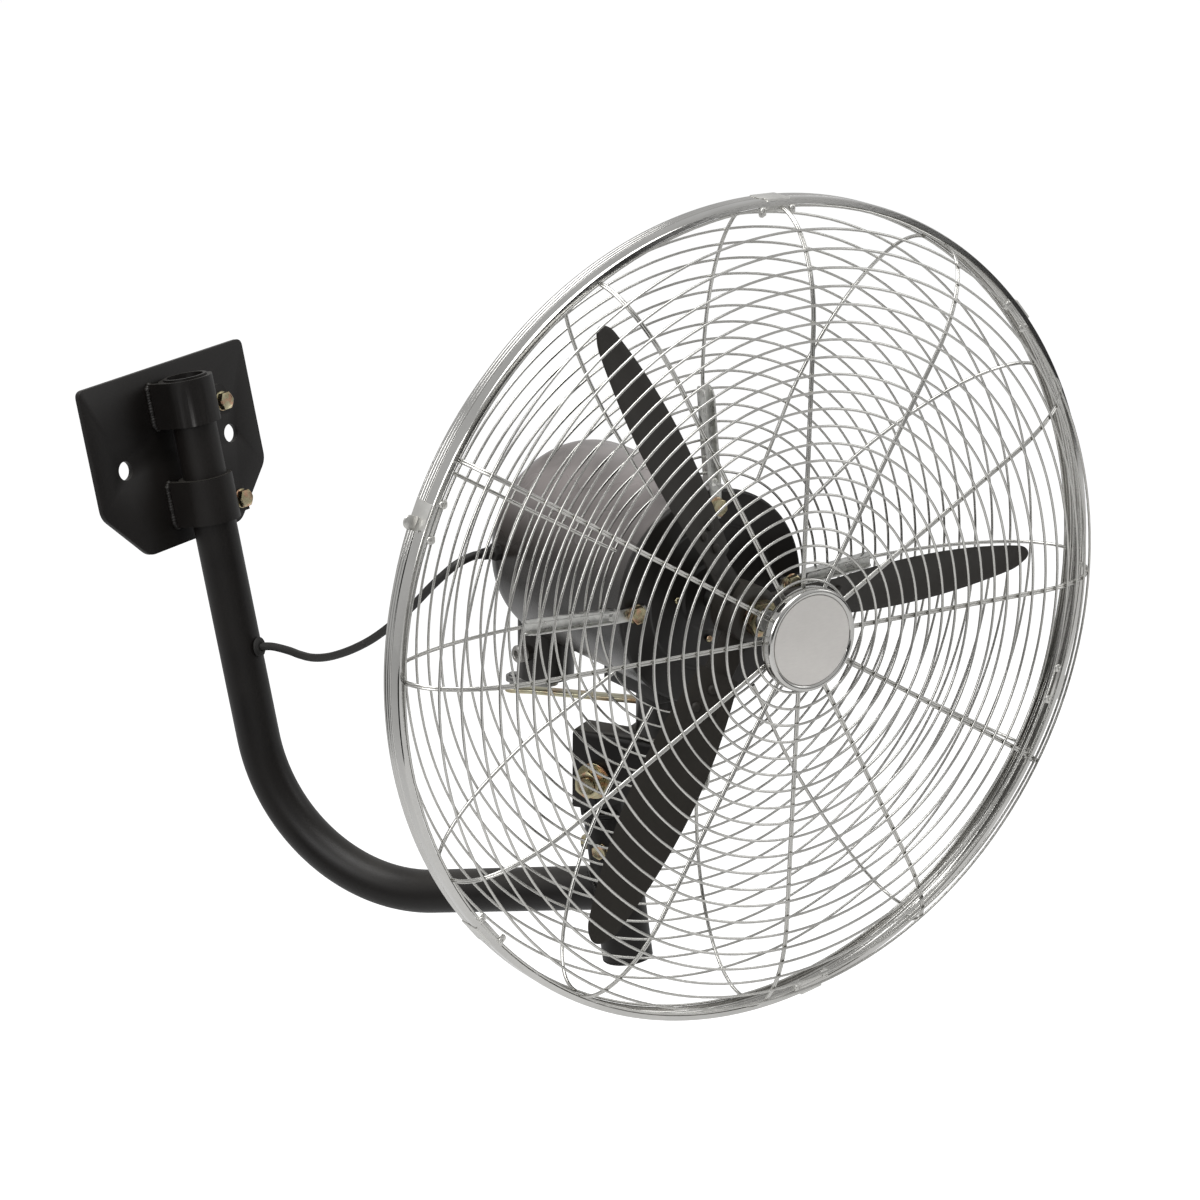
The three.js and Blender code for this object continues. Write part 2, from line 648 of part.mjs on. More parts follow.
function acrossBoltCircle(tool) {
  return Array.from({ length: GUARD_ARM_COUNT }, (_, i) =>
    tool().translate(GUARD_ARM.boltCircle, 0, 0).rotateZ((2 * HALF_TURN * i) / GUARD_ARM_COUNT),
  );
}

function boltCircleHoles() {
  const bottom = CAN.front - CAN.flange - PAST;
  return acrossBoltCircle(() => rod(GUARD_BOLT.radius + FIT, bottom, SHIELD.front + PAST, SMALL_SIDES));
}

// The crank's axis beside the shaft: worm and wheel just clear each other.
const CRANK_ASIDE = -(WORM.radius + WHEEL.radius + RUN);

function motorCan() {
  const { radius, wall, front, back, round, flangeBore, flange } = CAN;
  const body = turned([
    [0, back],
    ...arc([radius - round, back + round], round, -90, 0),
    [radius, front],
    [flangeBore, front],
    [flangeBore, front - flange],
    [radius - wall, front - flange],
    ...arc([radius - round, back + round], round - wall, 0, -90),
    [0, back + wall],
  ], CAN_SIDES);
  const outputHole = rod(OUTPUT_RADIUS + RUN, 0, radius + PAST, SMALL_SIDES)
    .rotateX(HALF_TURN / 2)
    .translate(CRANK_ASIDE, 0, CRANK_STATION);
  const leadHole = rod(LEAD_RADIUS + FIT, 0, radius + PAST, SMALL_SIDES)
    .rotateY(-HALF_TURN / 2)
    .translate(0, GLAND.height, GLAND.station);
  return cut(body, outputHole, leadHole, ...boltCircleHoles());
}

function frontShield() {
  const { radius, front, thickness, bevel } = SHIELD;
  const back = front - thickness;
  const seat = back - BEARING.lip;
  const boss = BEARING.radius + BEARING.seatWall;
  const body = turned([
    [SHAFT.radius + RUN, front],
    [radius - bevel, front],
    [radius, front - bevel],
    [radius, back],
    [boss, back],
    [boss, seat - BEARING.thickness],
    [BEARING.radius + FIT, seat - BEARING.thickness],
    [BEARING.radius + FIT, seat],
    [SHAFT.radius + RUN, seat],
    [SHAFT.radius + RUN, front],
  ], CAN_SIDES);
  return cut(body, ...boltCircleHoles());
}

function rearPlate() {
  const { front, thickness } = REAR_PLATE;
  const back = front - thickness;
  const boss = BEARING.radius + BEARING.seatWall;
  const end = back - BEARING.thickness;
  return turned([
    [SHAFT.radius + RUN, front],
    [CAN.radius - CAN.wall - FIT, front],
    [CAN.radius - CAN.wall - FIT, back],
    [boss, back],
    [boss, end],
    [BEARING.radius + FIT, end],
    [BEARING.radius + FIT, back],
    [SHAFT.radius + RUN, back],
    [SHAFT.radius + RUN, front],
  ], CAN_SIDES);
}

function panLug() {
  const axisStation = -ROTOR_AHEAD;
  const bottom = LUG_BOTTOM - SHAFT_HEIGHT;
  const boreTop = bottom + SPINDLE.reach + LUG.headroom;
  const padBottom = -CAN.radius - LUG.padHeight / 2;
  const upright = (radius, from, to) =>
    rod(radius, from, to).rotateX(-HALF_TURN / 2).translate(0, 0, axisStation);
  const body = joined(
    upright(LUG.radius, bottom, -CAN.radius / 2),
    block(
      [-LUG.padWidth / 2, LUG.padWidth / 2],
      [padBottom, -CAN.radius / 2],
      [axisStation - LUG.padLength / 2, axisStation + LUG.padLength / 2],
    ),
  );
  return cut(body, canSpace(FIT), upright(SPINDLE.radius + RUN, bottom - PAST, boreTop));
}

function gearHousing() {
  const upright = rod(HOUSING.radius, HOUSING.bottom, -CAN.radius / 2)
    .rotateX(-HALF_TURN / 2)
    .translate(CRANK_ASIDE, 0, CRANK_STATION);
  const capBoss = rod(CAP.radius, 0, HOUSING.capSeat + CRANK_ASIDE, SMALL_SIDES)
    .rotateY(-HALF_TURN / 2)
    .translate(CRANK_ASIDE, CAP.height, CAP.station);
  const bore = rod(OUTPUT_RADIUS + RUN, HOUSING.bottom - PAST, 0, SMALL_SIDES)
    .rotateX(-HALF_TURN / 2)
    .translate(CRANK_ASIDE, 0, CRANK_STATION);
  return cut(joined(upright, capBoss), canSpace(FIT), bore);
}

function leadGland() {
  const { station, height, radius, nut, chamfer, tipRadius, length } = GLAND;
  const start = CAN.radius / 2;
  const end = CAN.radius + length;
  const body = turned([
    [0, start],
    [radius, start],
    [radius, CAN.radius + nut],
    [radius - chamfer, CAN.radius + nut],
    [tipRadius, end],
    [0, end],
  ], SMALL_SIDES);
  return cut(body.rotateY(-HALF_TURN / 2).translate(0, height, station), canSpace(FIT));
}

function guardArm() {
  const { inner, heel, outer, width, web, flange, rise } = GUARD_ARM;
  const back = SHIELD.front + FIT;
  const side = (points, from, to) =>
    extruded(polygon(points), to - from).rotateX(HALF_TURN / 2).translate(0, -from, 0);
  const webProfile = [
    [inner, back],
    [heel, back],
    [outer, back - rise],
    [outer, back - rise + web],
    [heel, back + web],
    [inner, back + web],
  ];
  const flangeProfile = [
    [heel, back + web / 2],
    [heel, back - flange + web],
    [outer, back - rise - flange + web],
    [outer, back - rise + web / 2],
  ];
  const body = joined(
    side(webProfile, -width / 2, width / 2),
    side(flangeProfile, -width / 2, web - width / 2),
    side(flangeProfile, width / 2 - web, width / 2),
  );
  const boltHole = rod(GUARD_BOLT.radius + FIT, back - PAST, back + PAST, SMALL_SIDES);
  return cut(body, boltHole.translate(GUARD_ARM.boltCircle, 0, 0));
}

function buildMotor() {
  piece(motor, "motor_can", motorCan(), MOTOR_PAINT);
  piece(motor, "front_shield", frontShield(), MOTOR_PAINT);
  piece(motor, "rear_bearing_plate", rearPlate(), CAST_METAL);
  const bearing = () => ringBody(SHAFT.radius + FIT, BEARING.radius, -BEARING.thickness, -FIT);
  const seats = {
    front: SHIELD.front - SHIELD.thickness - BEARING.lip,
    rear: REAR_PLATE.front - REAR_PLATE.thickness,
  };
  for (const [name, seat] of Object.entries(seats))
    piece(motor, `${name}_bearing`, bearing().translate(0, 0, seat), STEEL);
  const stator = ringBody(STATOR.bore, CAN.radius - CAN.wall - FIT, STATOR.back, STATOR.front, CAN_SIDES);
  piece(motor, "stator_core", stator, CORE_STEEL);
  const winding = () => ringBody(WINDING.inner, WINDING.outer, FIT, WINDING.length);
  piece(motor, "winding_front", winding().translate(0, 0, STATOR.front), COPPER);
  piece(motor, "winding_rear", winding().rotateX(HALF_TURN).translate(0, 0, STATOR.back), COPPER);
  piece(motor, "pan_lug", panLug(), MOTOR_PAINT);
  piece(motor, "gear_housing", gearHousing(), MOTOR_PAINT);
  const cap = cut(
    rod(CAP.radius, HOUSING.capSeat + FIT, HOUSING.capSeat + CAP.length, SMALL_SIDES),
    rod(CAP.hole, HOUSING.capSeat + CAP.length / 2, HOUSING.capSeat + PAST, SMALL_SIDES),
  );
  piece(motor, "gearbox_cap", cap.rotateY(-HALF_TURN / 2).translate(0, CAP.height, CAP.station), CAST_METAL);
  piece(motor, "lead_gland", leadGland(), RUBBER);
}

// ---- oscillation drive ---------------------------------------------------------------------------
function gearOutline(radius, depth, teeth) {
  const pitch = (2 * HALF_TURN) / teeth;
  const points = [];
  for (let i = 0; i < teeth; i++)
    for (const [share, r] of [[0, radius - depth], [0.3, radius - depth], [0.4, radius], [0.8, radius]]) {
      const angle = (i + share) * pitch;
      points.push([r * Math.cos(angle), r * Math.sin(angle)]);
    }
  return polygon(points);
}

function buildDrive() {
  const drive = group(motor, [CRANK_ASIDE, 0, CRANK_STATION], [-90, 0, 0]); // +Z runs up
  const { thickness, hubRadius, pinEndRadius, pinRadius, gap } = CRANK;
  const crankTop = HOUSING.bottom - gap;
  const shaft = rod(OUTPUT_RADIUS, crankTop - thickness - OUTPUT_TAIL, WHEEL.thickness);
  piece(drive, "output_shaft", shaft, STEEL);
  const wheel = extruded(gearOutline(WHEEL.radius, WHEEL.depth, WHEEL.teeth), WHEEL.thickness);
  const bored = cut(wheel.translate(0, 0, -WHEEL.thickness / 2), rod(OUTPUT_RADIUS + FIT, -PAST, PAST));
  piece(drive, "worm_wheel", bored, BRONZE);
  const crank = group(drive, [0, 0, crankTop - thickness], [0, 0, CRANK_START - 90]);
  const plate = flatBar(CRANK.throw, 2 * pinEndRadius, hubRadius, pinEndRadius, thickness);
  const pinEnd = FIT - LINK.below - (crankTop - thickness); // just above the link's eye
  const pin = rod(pinRadius, pinEnd, thickness / 2, SMALL_SIDES).translate(CRANK.throw, 0, 0);
  piece(crank, "crank_arm", cut(joined(plate, pin), rod(OUTPUT_RADIUS + FIT, -PAST, PAST)), STEEL);
}

// ---- rotor ---------------------------------------------------------------------------------------
// A bent strip along the blade's line: chord(share) wide, offset along its own normal.
function bladeStrip(from, to, chord, thickness, offset, firstAngle) {
  const middle = (BLADE.root + ROTOR_RADIUS) / 2;
  const half = (ROTOR_RADIUS - BLADE.root) / 2;
  const rows = [];
  for (let i = 0; i <= BLADE_STEPS; i++) {
    const r = from + ((to - from) * i) / BLADE_STEPS;
    const share = (r - middle) / half;
    const pitch = rad(BLADE.pitch + BLADE.twist * share);
    const along = [Math.cos(pitch), Math.sin(pitch)];
    const corner = (across, out) => new THREE.Vector3(
      r,
      across * along[0] - out * along[1],
      across * along[1] + out * along[0],
    );
    const w = chord(share) / 2;
    rows.push([
      corner(-w, offset - thickness / 2),
      corner(w, offset - thickness / 2),
      corner(w, offset + thickness / 2),
      corner(-w, offset + thickness / 2),
    ]);
  }
  const positions = [];
  const quad = (a, b, c, d) => [a, b, c, a, c, d].forEach((p) => positions.push(p.x, p.y, p.z));
  for (let i = 0; i < BLADE_STEPS; i++)
    for (let k = 0; k < 4; k++)
      quad(rows[i][k], rows[i + 1][k], rows[i + 1][(k + 1) % 4], rows[i][(k + 1) % 4]);
  quad(...rows[0]);
  quad(...rows[BLADE_STEPS].toReversed());
  const strip = new THREE.BufferGeometry();
  strip.setAttribute("position", new THREE.Float32BufferAttribute(positions, 3));
  return strip.rotateZ(rad(firstAngle));
}

const bladeAngle = (i) => BLADE_FIRST - (360 * i) / BLADE_COUNT;

function bladeChord(share) {
  return BLADE.chord + BLADE.taper * share + BLADE.belly * share * share;
}

function fanHub() {
  const { bossRadius, bossBack, bossFront, armEnd, armChord, armThickness } = HUB;
  const behind = -(BLADE.thickness + armThickness) / 2 - FIT;
  const arms = Array.from({ length: BLADE_COUNT }, (_, i) =>
    bladeStrip(SHAFT.radius, armEnd, () => armChord, armThickness, behind, bladeAngle(i)),
  );
  const bore = rod(SHAFT.radius + FIT, bossBack - PAST, bossFront + PAST);
  return cut(joined(rod(bossRadius, bossBack, bossFront), ...arms), bore);
}

function wormBody() {
  const { radius, length, threads, depth } = WORM;
  const start = CRANK_STATION - length / 2;
  const bore = SHAFT.radius + FIT;
  const step = length / threads;
  const ridges = Array.from({ length: threads }, (_, i) => [
    [radius - depth, start + i * step],
    [radius, start + (i + 0.25) * step],
    [radius, start + (i + 0.65) * step],
    [radius - depth, start + (i + 0.9) * step],
  ]).flat();
  const end = start + length;
  return turned([[bore, start], ...ridges, [radius - depth, end], [bore, end], [bore, start]]);
}

function buildRotor() {
  const chord = bladeChord;
  for (let i = 0; i < BLADE_COUNT; i++) {
    const blade = bladeStrip(BLADE.root, ROTOR_RADIUS, chord, BLADE.thickness, 0, bladeAngle(i));
    piece(motor, `blade_${i + 1}`, toGeometry(toSolid(blade)), BLADE_PAINT);
  }
  piece(motor, "fan_hub", fanHub(), BLADE_PAINT);
  piece(motor, "motor_shaft", rod(SHAFT.radius, SHAFT.back, SHAFT.front), STEEL);
  const nut = hexNut({ radius: SHAFT.radius, flats: HUB_NUT.flats, nut: HUB_NUT.thickness }, SIDES);
  piece(motor, "hub_nut", nut.translate(0, 0, HUB.bossFront + FIT), ZINC);
  const core = ringBody(SHAFT.radius + FIT, STATOR.bore - AIR_GAP, STATOR.back, STATOR.front);
  piece(motor, "rotor_core", core, CORE_STEEL);
  piece(motor, "worm", wormBody(), STEEL);
}

// ---- guards --------------------------------------------------------------------------------------
const GUARD_OUTER = RIM.radius - RIM.wall - RIM.lip - WIRE_RADIUS - 2 * FIT;

// Station of a wire cage at a radius: a shallow cone that ends in a quarter ellipse at the rim.
function cageStation({ inner, innerStation, flat, flatStation }, outerStation, r) {
  if (r < flat) return innerStation + ((flatStation - innerStation) * (r - inner)) / (flat - inner);
  const share = (r - flat) / (GUARD_OUTER - flat);
  return outerStation + (flatStation - outerStation) * Math.sqrt(1 - share * share);
}

function wireCage(guard, outerStation) {
  const { inner } = guard;
  const station = (r) => cageStation(guard, outerStation, r);
  const ringAt = (i) => inner + ((GUARD_OUTER - inner) * i) / (RING_COUNT - 1);
  const rings = Array.from({ length: RING_COUNT }, (_, i) => {
    const ring = new THREE.TorusGeometry(ringAt(i), WIRE_RADIUS, WIRE_SIDES, RING_SIDES);
    return ring.translate(0, 0, station(ringAt(i)));
  });
  // Even steps in angle keep the steep outer stretch of each spoke smooth.
  const points = Array.from({ length: SPOKE_STEPS + 1 }, (_, i) => {
    const share = Math.sin(((HALF_TURN / 2) * i) / SPOKE_STEPS);
    const r = inner + (GUARD_OUTER - inner) * share;
    return new THREE.Vector3(r, 0, station(r));
  });
  const spokes = Array.from({ length: SPOKE_COUNT }, (_, i) =>
    swept(WIRE_RADIUS, 0, new THREE.CatmullRomCurve3(points), SPOKE_STEPS, WIRE_SIDES)
      .rotateZ((2 * HALF_TURN * i) / SPOKE_COUNT),
  );
  return joined(...rings, ...spokes);
}

function rimBand() {
  const { radius, wall, back, front, lip } = RIM;
  return turned([
    [radius - wall - lip, back],
    [radius, back],
    [radius, front],
    [radius - wall - lip, front],
    [radius - wall - lip, front - wall],
    [radius - wall, front - wall],
    [radius - wall, back + wall],
    [radius - wall - lip, back + wall],
    [radius - wall - lip, back],
  ], RIM_SIDES);
}

// A shallow cup that stands on the front guard's inner ring.
function badgePlate() {
  const { radius, depth, bezel, lip, round } = BADGE;
  const back = FRONT_GUARD.innerStation + WIRE_RADIUS;
  const front = back + depth;
  return turned([
    [0, back],
    [radius - round, back],
    [radius, back + round],
    [radius, front - round],
    [radius - bezel / 2, front],
    [radius - bezel, front - lip],
    [0, front - lip],
  ]);
}

function buildGuards() {
  for (let i = 0; i < GUARD_ARM_COUNT; i++) {
    const at = group(motor, [0, 0, 0], [0, 0, (360 * i) / GUARD_ARM_COUNT]);
    piece(at, `guard_arm_${i + 1}`, guardArm(), GALVANISED);
    const seat = SHIELD.front + 2 * FIT + GUARD_ARM.web;
    const bolt = hexBolt(GUARD_BOLT, GUARD_BOLT.depth).translate(GUARD_ARM.boltCircle, 0, seat);
    piece(at, `guard_bolt_${i + 1}`, bolt, ZINC);
  }
  piece(motor, "rear_guard", wireCage(REAR_GUARD, RIM.back + RIM.wall / 2), CHROME);
  piece(motor, "front_guard", wireCage(FRONT_GUARD, RIM.front - RIM.wall / 2), CHROME);
  piece(motor, "rim_band", rimBand(), CHROME);
  piece(motor, "badge", badgePlate(), BADGE_METAL);
}

buildMount();
buildArm();
buildPost();
buildNeck();
buildMotor();
buildDrive();
buildRotor();
buildGuards();

export default fan;
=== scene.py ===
import math

import bmesh
import bpy
from mathutils import Matrix, Vector


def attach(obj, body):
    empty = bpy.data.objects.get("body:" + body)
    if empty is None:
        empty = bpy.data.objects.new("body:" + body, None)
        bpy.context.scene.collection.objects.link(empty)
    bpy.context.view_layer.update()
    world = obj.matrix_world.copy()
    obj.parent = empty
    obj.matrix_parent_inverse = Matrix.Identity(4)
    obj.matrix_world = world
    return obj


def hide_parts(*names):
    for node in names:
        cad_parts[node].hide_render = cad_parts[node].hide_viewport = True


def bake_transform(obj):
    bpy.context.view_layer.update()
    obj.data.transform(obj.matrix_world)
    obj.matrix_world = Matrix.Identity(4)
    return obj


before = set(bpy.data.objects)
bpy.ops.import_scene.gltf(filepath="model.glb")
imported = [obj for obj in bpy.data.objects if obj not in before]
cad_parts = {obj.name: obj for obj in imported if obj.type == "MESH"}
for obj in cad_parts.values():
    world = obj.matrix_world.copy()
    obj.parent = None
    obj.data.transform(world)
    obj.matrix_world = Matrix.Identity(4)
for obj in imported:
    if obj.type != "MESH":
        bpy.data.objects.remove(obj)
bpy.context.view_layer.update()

# ---- camera: the photograph's view ---------------------------------------------------
VIEW_AZIMUTH = -50.793
VIEW_ELEVATION = 12.345
VIEW_ROLL = -10.32
VIEW_DISTANCE = 3.610525
VIEW_ASIDE = 0.4151
VIEW_ABOVE = -0.1447
VIEW_LENS = 110.91


def place_camera():
    azimuth, elevation, roll = (math.radians(v) for v in (VIEW_AZIMUTH, VIEW_ELEVATION, VIEW_ROLL))
    back = Vector((
        math.sin(azimuth) * math.cos(elevation),
        -math.cos(azimuth) * math.cos(elevation),
        math.sin(elevation),
    ))
    level = Vector((math.cos(azimuth), math.sin(azimuth), 0))
    upright = back.cross(level)
    right = level * math.cos(roll) + upright * math.sin(roll)
    up = upright * math.cos(roll) - level * math.sin(roll)
    lens = bpy.data.cameras.new("camera")
    lens.lens = VIEW_LENS
    lens.sensor_width = 36
    lens.clip_end = 50
    camera = bpy.data.objects.new("camera", lens)
    camera.matrix_world = Matrix.Translation(
        right * VIEW_ASIDE + up * VIEW_ABOVE + back * VIEW_DISTANCE
    ) @ Matrix((right, up, back)).transposed().to_4x4()
    bpy.context.scene.collection.objects.link(camera)
    bpy.context.scene.camera = camera


place_camera()


# ---- the fan's own frames, in millimetres --------------------------------------------
def turn(axis, degrees):
    return Matrix.Rotation(math.radians(degrees), 4, axis)


def shift(x, y, z):
    return Matrix.Translation((x, y, z))


TO_METRES = Matrix.Diagonal((0.001, 0.001, 0.001, 1))
FIT = 0.3
ARM_AHEAD = 34
ARM_REACH = 370
ARM_DROP = 456.2
BEND_RADIUS = 165
POST_LEAN = 3
TILT_ABOVE = 113
BRACKET_ABOVE = 46
SPINDLE_FLANGE = 3
THRUST_WASHER = 2.5
AXIS_ABOVE = 204.5
PAN_BEHIND = 132
GEAR_AXIS = shift(-39, 0, -269)
LEAD_HOLE = -200
GLAND_HEIGHT = 6
GLAND_STATION = -262
LINK_LENGTH = 141.9
CRANK_THROW = 31.6
BOLT_CIRCLE = 86
HUB_PITCH = 27

ARM = shift(0, -ARM_AHEAD, 0) @ turn("Z", 10.5)
POST = ARM @ shift(0, -ARM_REACH, -ARM_DROP) @ turn("X", POST_LEAN)
NECK = POST @ shift(0, 0, TILT_ABOVE) @ turn("X", 8.6)
HEAD = NECK @ shift(0, -60, 0) @ turn("Z", -30)
MOTOR = HEAD @ shift(0, -PAN_BEHIND, AXIS_ABOVE) @ turn("X", 90)
PIVOT = NECK @ shift(57, -30, 0)
LINK = PIVOT @ shift(0, 0, 57.5) @ turn("Z", 101.66)
CRANK = MOTOR @ GEAR_AXIS @ turn("X", -90) @ shift(0, 0, -137) @ turn("Z", 131.7)


# ---- meshes --------------------------------------------------------------------------
def arc(centre, radius, first, last, steps=8):
    """Points of a circular arc in a plane, angles in degrees."""
    return [
        (
            centre[0] + radius * math.cos(math.radians(first + (last - first) * i / steps)),
            centre[1] + radius * math.sin(math.radians(first + (last - first) * i / steps)),
        )
        for i in range(steps + 1)
    ]


def eased(points, radius, steps=3):
    """An open outline with its inner corners rounded."""
    made = [points[0]]
    for before, corner, after in zip(points, points[1:], points[2:]):
        a, c, b = Vector(before), Vector(corner), Vector(after)
        reach = min(radius, (a - c).length * 0.45, (b - c).length * 0.45)
        start, end = c + (a - c).normalized() * reach, c + (b - c).normalized() * reach
        for i in range(steps + 1):
            t = i / steps
            made.append(tuple(start * (1 - t) ** 2 + c * 2 * t * (1 - t) + end * t * t))
    return made + [points[-1]]


def eased_loop(points, radius, steps=3):
    """A closed outline with all its corners rounded."""
    return eased([points[-1], *points, points[0]], radius, steps)[1:-1]


def lathe(profile, steps=96):
    """A solid turned about Z from (radius, height) points that end on the axis or close on themselves."""
    bm = bmesh.new()
    closed = (Vector(profile[0]) - Vector(profile[-1])).length < 1e-6
    rings = []
    for radius, height in profile[:-1] if closed else profile:
        count = steps if radius > 1e-6 else 1
        rings.append([
            bm.verts.new((
                radius * math.cos(2 * math.pi * i / count),
                radius * math.sin(2 * math.pi * i / count),
                height,
            ))
            for i in range(count)
        ])
    for a, b in zip(rings, rings[1:] + (rings[:1] if closed else [])):
        for i in range(steps):
            loop = [a[i % len(a)], a[(i + 1) % len(a)], b[(i + 1) % len(b)], b[i % len(b)]]
            loop = list(dict.fromkeys(loop))
            if len(loop) > 2:
                bm.faces.new(loop)
    return bm


def prism(outline, low, high):
    """A flat outline in XY, raised from one height to another."""
    bm = bmesh.new()
    bottom = [bm.verts.new((x, y, low)) for x, y in outline]
    top = [bm.verts.new((x, y, high)) for x, y in outline]
    bm.faces.new(bottom)
    bm.faces.new(top)
    for i in range(len(outline)):
        j = (i + 1) % len(outline)
        bm.faces.new((bottom[i], bottom[j], top[j], top[i]))
    return bm


def block(x, y, z):
    return prism([(x[0], y[0]), (x[1], y[0]), (x[1], y[1]), (x[0], y[1])], *z)


def rod(radius, low, high, steps=64):
    return prism(arc((0, 0), radius, 0, 360, steps)[:-1], low, high)


def moved(bm, matrix):
    bm.transform(matrix)
    return bm


def swept(path, section):
    """A closed section of (side, up) points carried along a path, without twisting."""
    bm = bmesh.new()
    path = [Vector(p) for p in path]
    side = None
    rings = []
    for i, point in enumerate(path):
        along = (path[min(i + 1, len(path) - 1)] - path[max(i - 1, 0)]).normalized()
        if side is None:
            side = along.orthogonal().normalized() if abs(along.x) > 0.9 else Vector((1, 0, 0))
        side = (side - along * side.dot(along)).normalized()
        up = along.cross(side)
        rings.append([bm.verts.new(point + side * s + up * u) for s, u in section])
    for a, b in zip(rings, rings[1:]):
        for i in range(len(section)):
            j = (i + 1) % len(section)
            bm.faces.new((a[i], a[j], b[j], b[i]))
    bm.faces.new(rings[0])
    bm.faces.new(rings[-1])
    return bm


def merged(*parts):
    """Several bodies in one mesh, left as they are."""
    whole = bmesh.new()
    for part in parts:
        mesh = bpy.data.meshes.new("part")
        bmesh.ops.recalc_face_normals(part, faces=part.faces)
        part.to_mesh(mesh)
        part.free()
        whole.from_mesh(mesh)
        bpy.data.meshes.remove(mesh)
    return whole


def loose_object(bm, name="tool"):
    mesh = bpy.data.meshes.new(name)
    bmesh.ops.recalc_face_normals(bm, faces=bm.faces)
    bm.to_mesh(mesh)
    bm.free()
    made = bpy.data.objects.new(name, mesh)
    bpy.context.scene.collection.objects.link(made)
    return made


def evaluated_mesh(piece):
    """The piece's mesh with its modifiers applied. The piece itself is removed."""
    bpy.context.view_layer.update()
    mesh = bpy.data.meshes.new_from_object(piece.evaluated_get(bpy.context.evaluated_depsgraph_get()))
    bpy.data.objects.remove(piece)
    return mesh


def carved(base, *tools, operation="DIFFERENCE"):
    """The base with each tool cut from it or joined to it."""
    for tool in tools:
        body, cutter = loose_object(base), loose_object(tool)
        step = body.modifiers.new("carve", "BOOLEAN")
        step.object = cutter
        step.operation = operation
        step.solver = "EXACT"
        mesh = evaluated_mesh(body)
        bpy.data.objects.remove(cutter)
        base = bmesh.new()
        base.from_mesh(mesh)
        bpy.data.meshes.remove(mesh)
    return base


def fused(base, *others):
    return carved(base, *others, operation="UNION")


def softened(bm, width, corner=35, segments=2):
    """Rounds the edges that are sharper than an angle."""
    bmesh.ops.remove_doubles(bm, verts=bm.verts, dist=1e-3)
    bmesh.ops.dissolve_limit(bm, angle_limit=math.radians(0.6), verts=bm.verts, edges=bm.edges)
    limit = math.radians(corner)
    sharp = [e for e in bm.edges if len(e.link_faces) == 2 and e.calc_face_angle() > limit]
    bmesh.ops.bevel(
        bm, geom=sharp, offset=width, offset_type="OFFSET", segments=segments, profile=0.5,
        affect="EDGES", clamp_overlap=True,
    )
    return bm


def shade_by_angle(bm, degrees):
    """Smooth faces, with the edges sharper than an angle left hard."""
    bmesh.ops.recalc_face_normals(bm, faces=bm.faces)
    limit = math.radians(degrees)
    for face in bm.faces:
        face.smooth = True
    for edge in bm.edges:
        edge.smooth = len(edge.link_faces) == 2 and edge.calc_face_angle() < limit


def finished(name, bm, frame_matrix, body, slot_name, *materials, replaces=(), smooth=40):
    """Makes the piece: in place in the row frame, shaded, riding on its body."""
    bm.transform(TO_METRES @ frame_matrix)
    shade_by_angle(bm, smooth)
    mesh = bpy.data.meshes.new(name)
    bm.to_mesh(mesh)
    bm.free()
    return settle(name, mesh, body, materials, replaces)


def stand_in(node, bm, frame_matrix, body, slot_name, material):
    """Makes the piece that takes the place of one CAD body."""
    finished(f"{node}_visual", bm, frame_matrix, body, slot_name, material, replaces=[node])


def settle(name, mesh, body, materials, replaces):
    mesh.name = name
    if materials:
        mesh.materials.clear()
        for material in materials:
            mesh.materials.append(material)
    piece = bpy.data.objects.new(name, mesh)
    bpy.context.scene.collection.objects.link(piece)
    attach(piece, body)
    if replaces:
        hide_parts(*replaces)
    return piece


# ---- node trees ----------------------------------------------------------------------
def add(tree, kind, inputs=None, **settings):
    """A node with its settings, its inputs given as values or as the sockets that feed them."""
    node = tree.nodes.new(kind)
    node.location = (200 * (len(tree.nodes) % 12), -220 * (len(tree.nodes) // 12))
    for key, value in settings.items():
        setattr(node, key, value)
    for key, value in (inputs or {}).items():
        if isinstance(value, bpy.types.NodeSocket):
            tree.links.new(value, node.inputs[key])
        else:
            node.inputs[key].default_value = value
    return node


def calc(tree, operation, *terms, clamp=False):
    kind = "ShaderNodeMath"
    return add(tree, kind, dict(enumerate(terms)), operation=operation, use_clamp=clamp).outputs[0]


def grouped(name, kind, inputs, outputs):
    """A node group with named inputs (name, socket type, value) and outputs (name, socket type)."""
    tree = bpy.data.node_groups.new(name, kind)
    for label, socket, value in inputs:
        made = tree.interface.new_socket(label, in_out="INPUT", socket_type=socket)
        if value is not None:
            made.default_value = value
    for label, socket in outputs:
        tree.interface.new_socket(label, in_out="OUTPUT", socket_type=socket)
    return tree, add(tree, "NodeGroupInput").outputs, add(tree, "NodeGroupOutput")


def grown(piece, tree, values):
    """Runs a geometry tree on a piece and returns the plain mesh."""
    modifier = piece.modifiers.new(tree.name, "NODES")
    modifier.node_group = tree
    sockets = {s.name: s.identifier for s in tree.interface.items_tree if s.in_out == "INPUT"}
    for label, value in values.items():
        modifier[sockets[label]] = value
    return evaluated_mesh(piece)


def painted_end(tree, geometry, given, out):
    """Realises the instances, sets the material and feeds the group's output."""
    real = add(tree, "GeometryNodeRealizeInstances", {"Geometry": geometry})
    painted = add(tree, "GeometryNodeSetMaterial", {
        "Geometry": real.outputs[0], "Material": given["Material"],
    })
    tree.links.new(painted.outputs[0], out.inputs[0])
    return tree


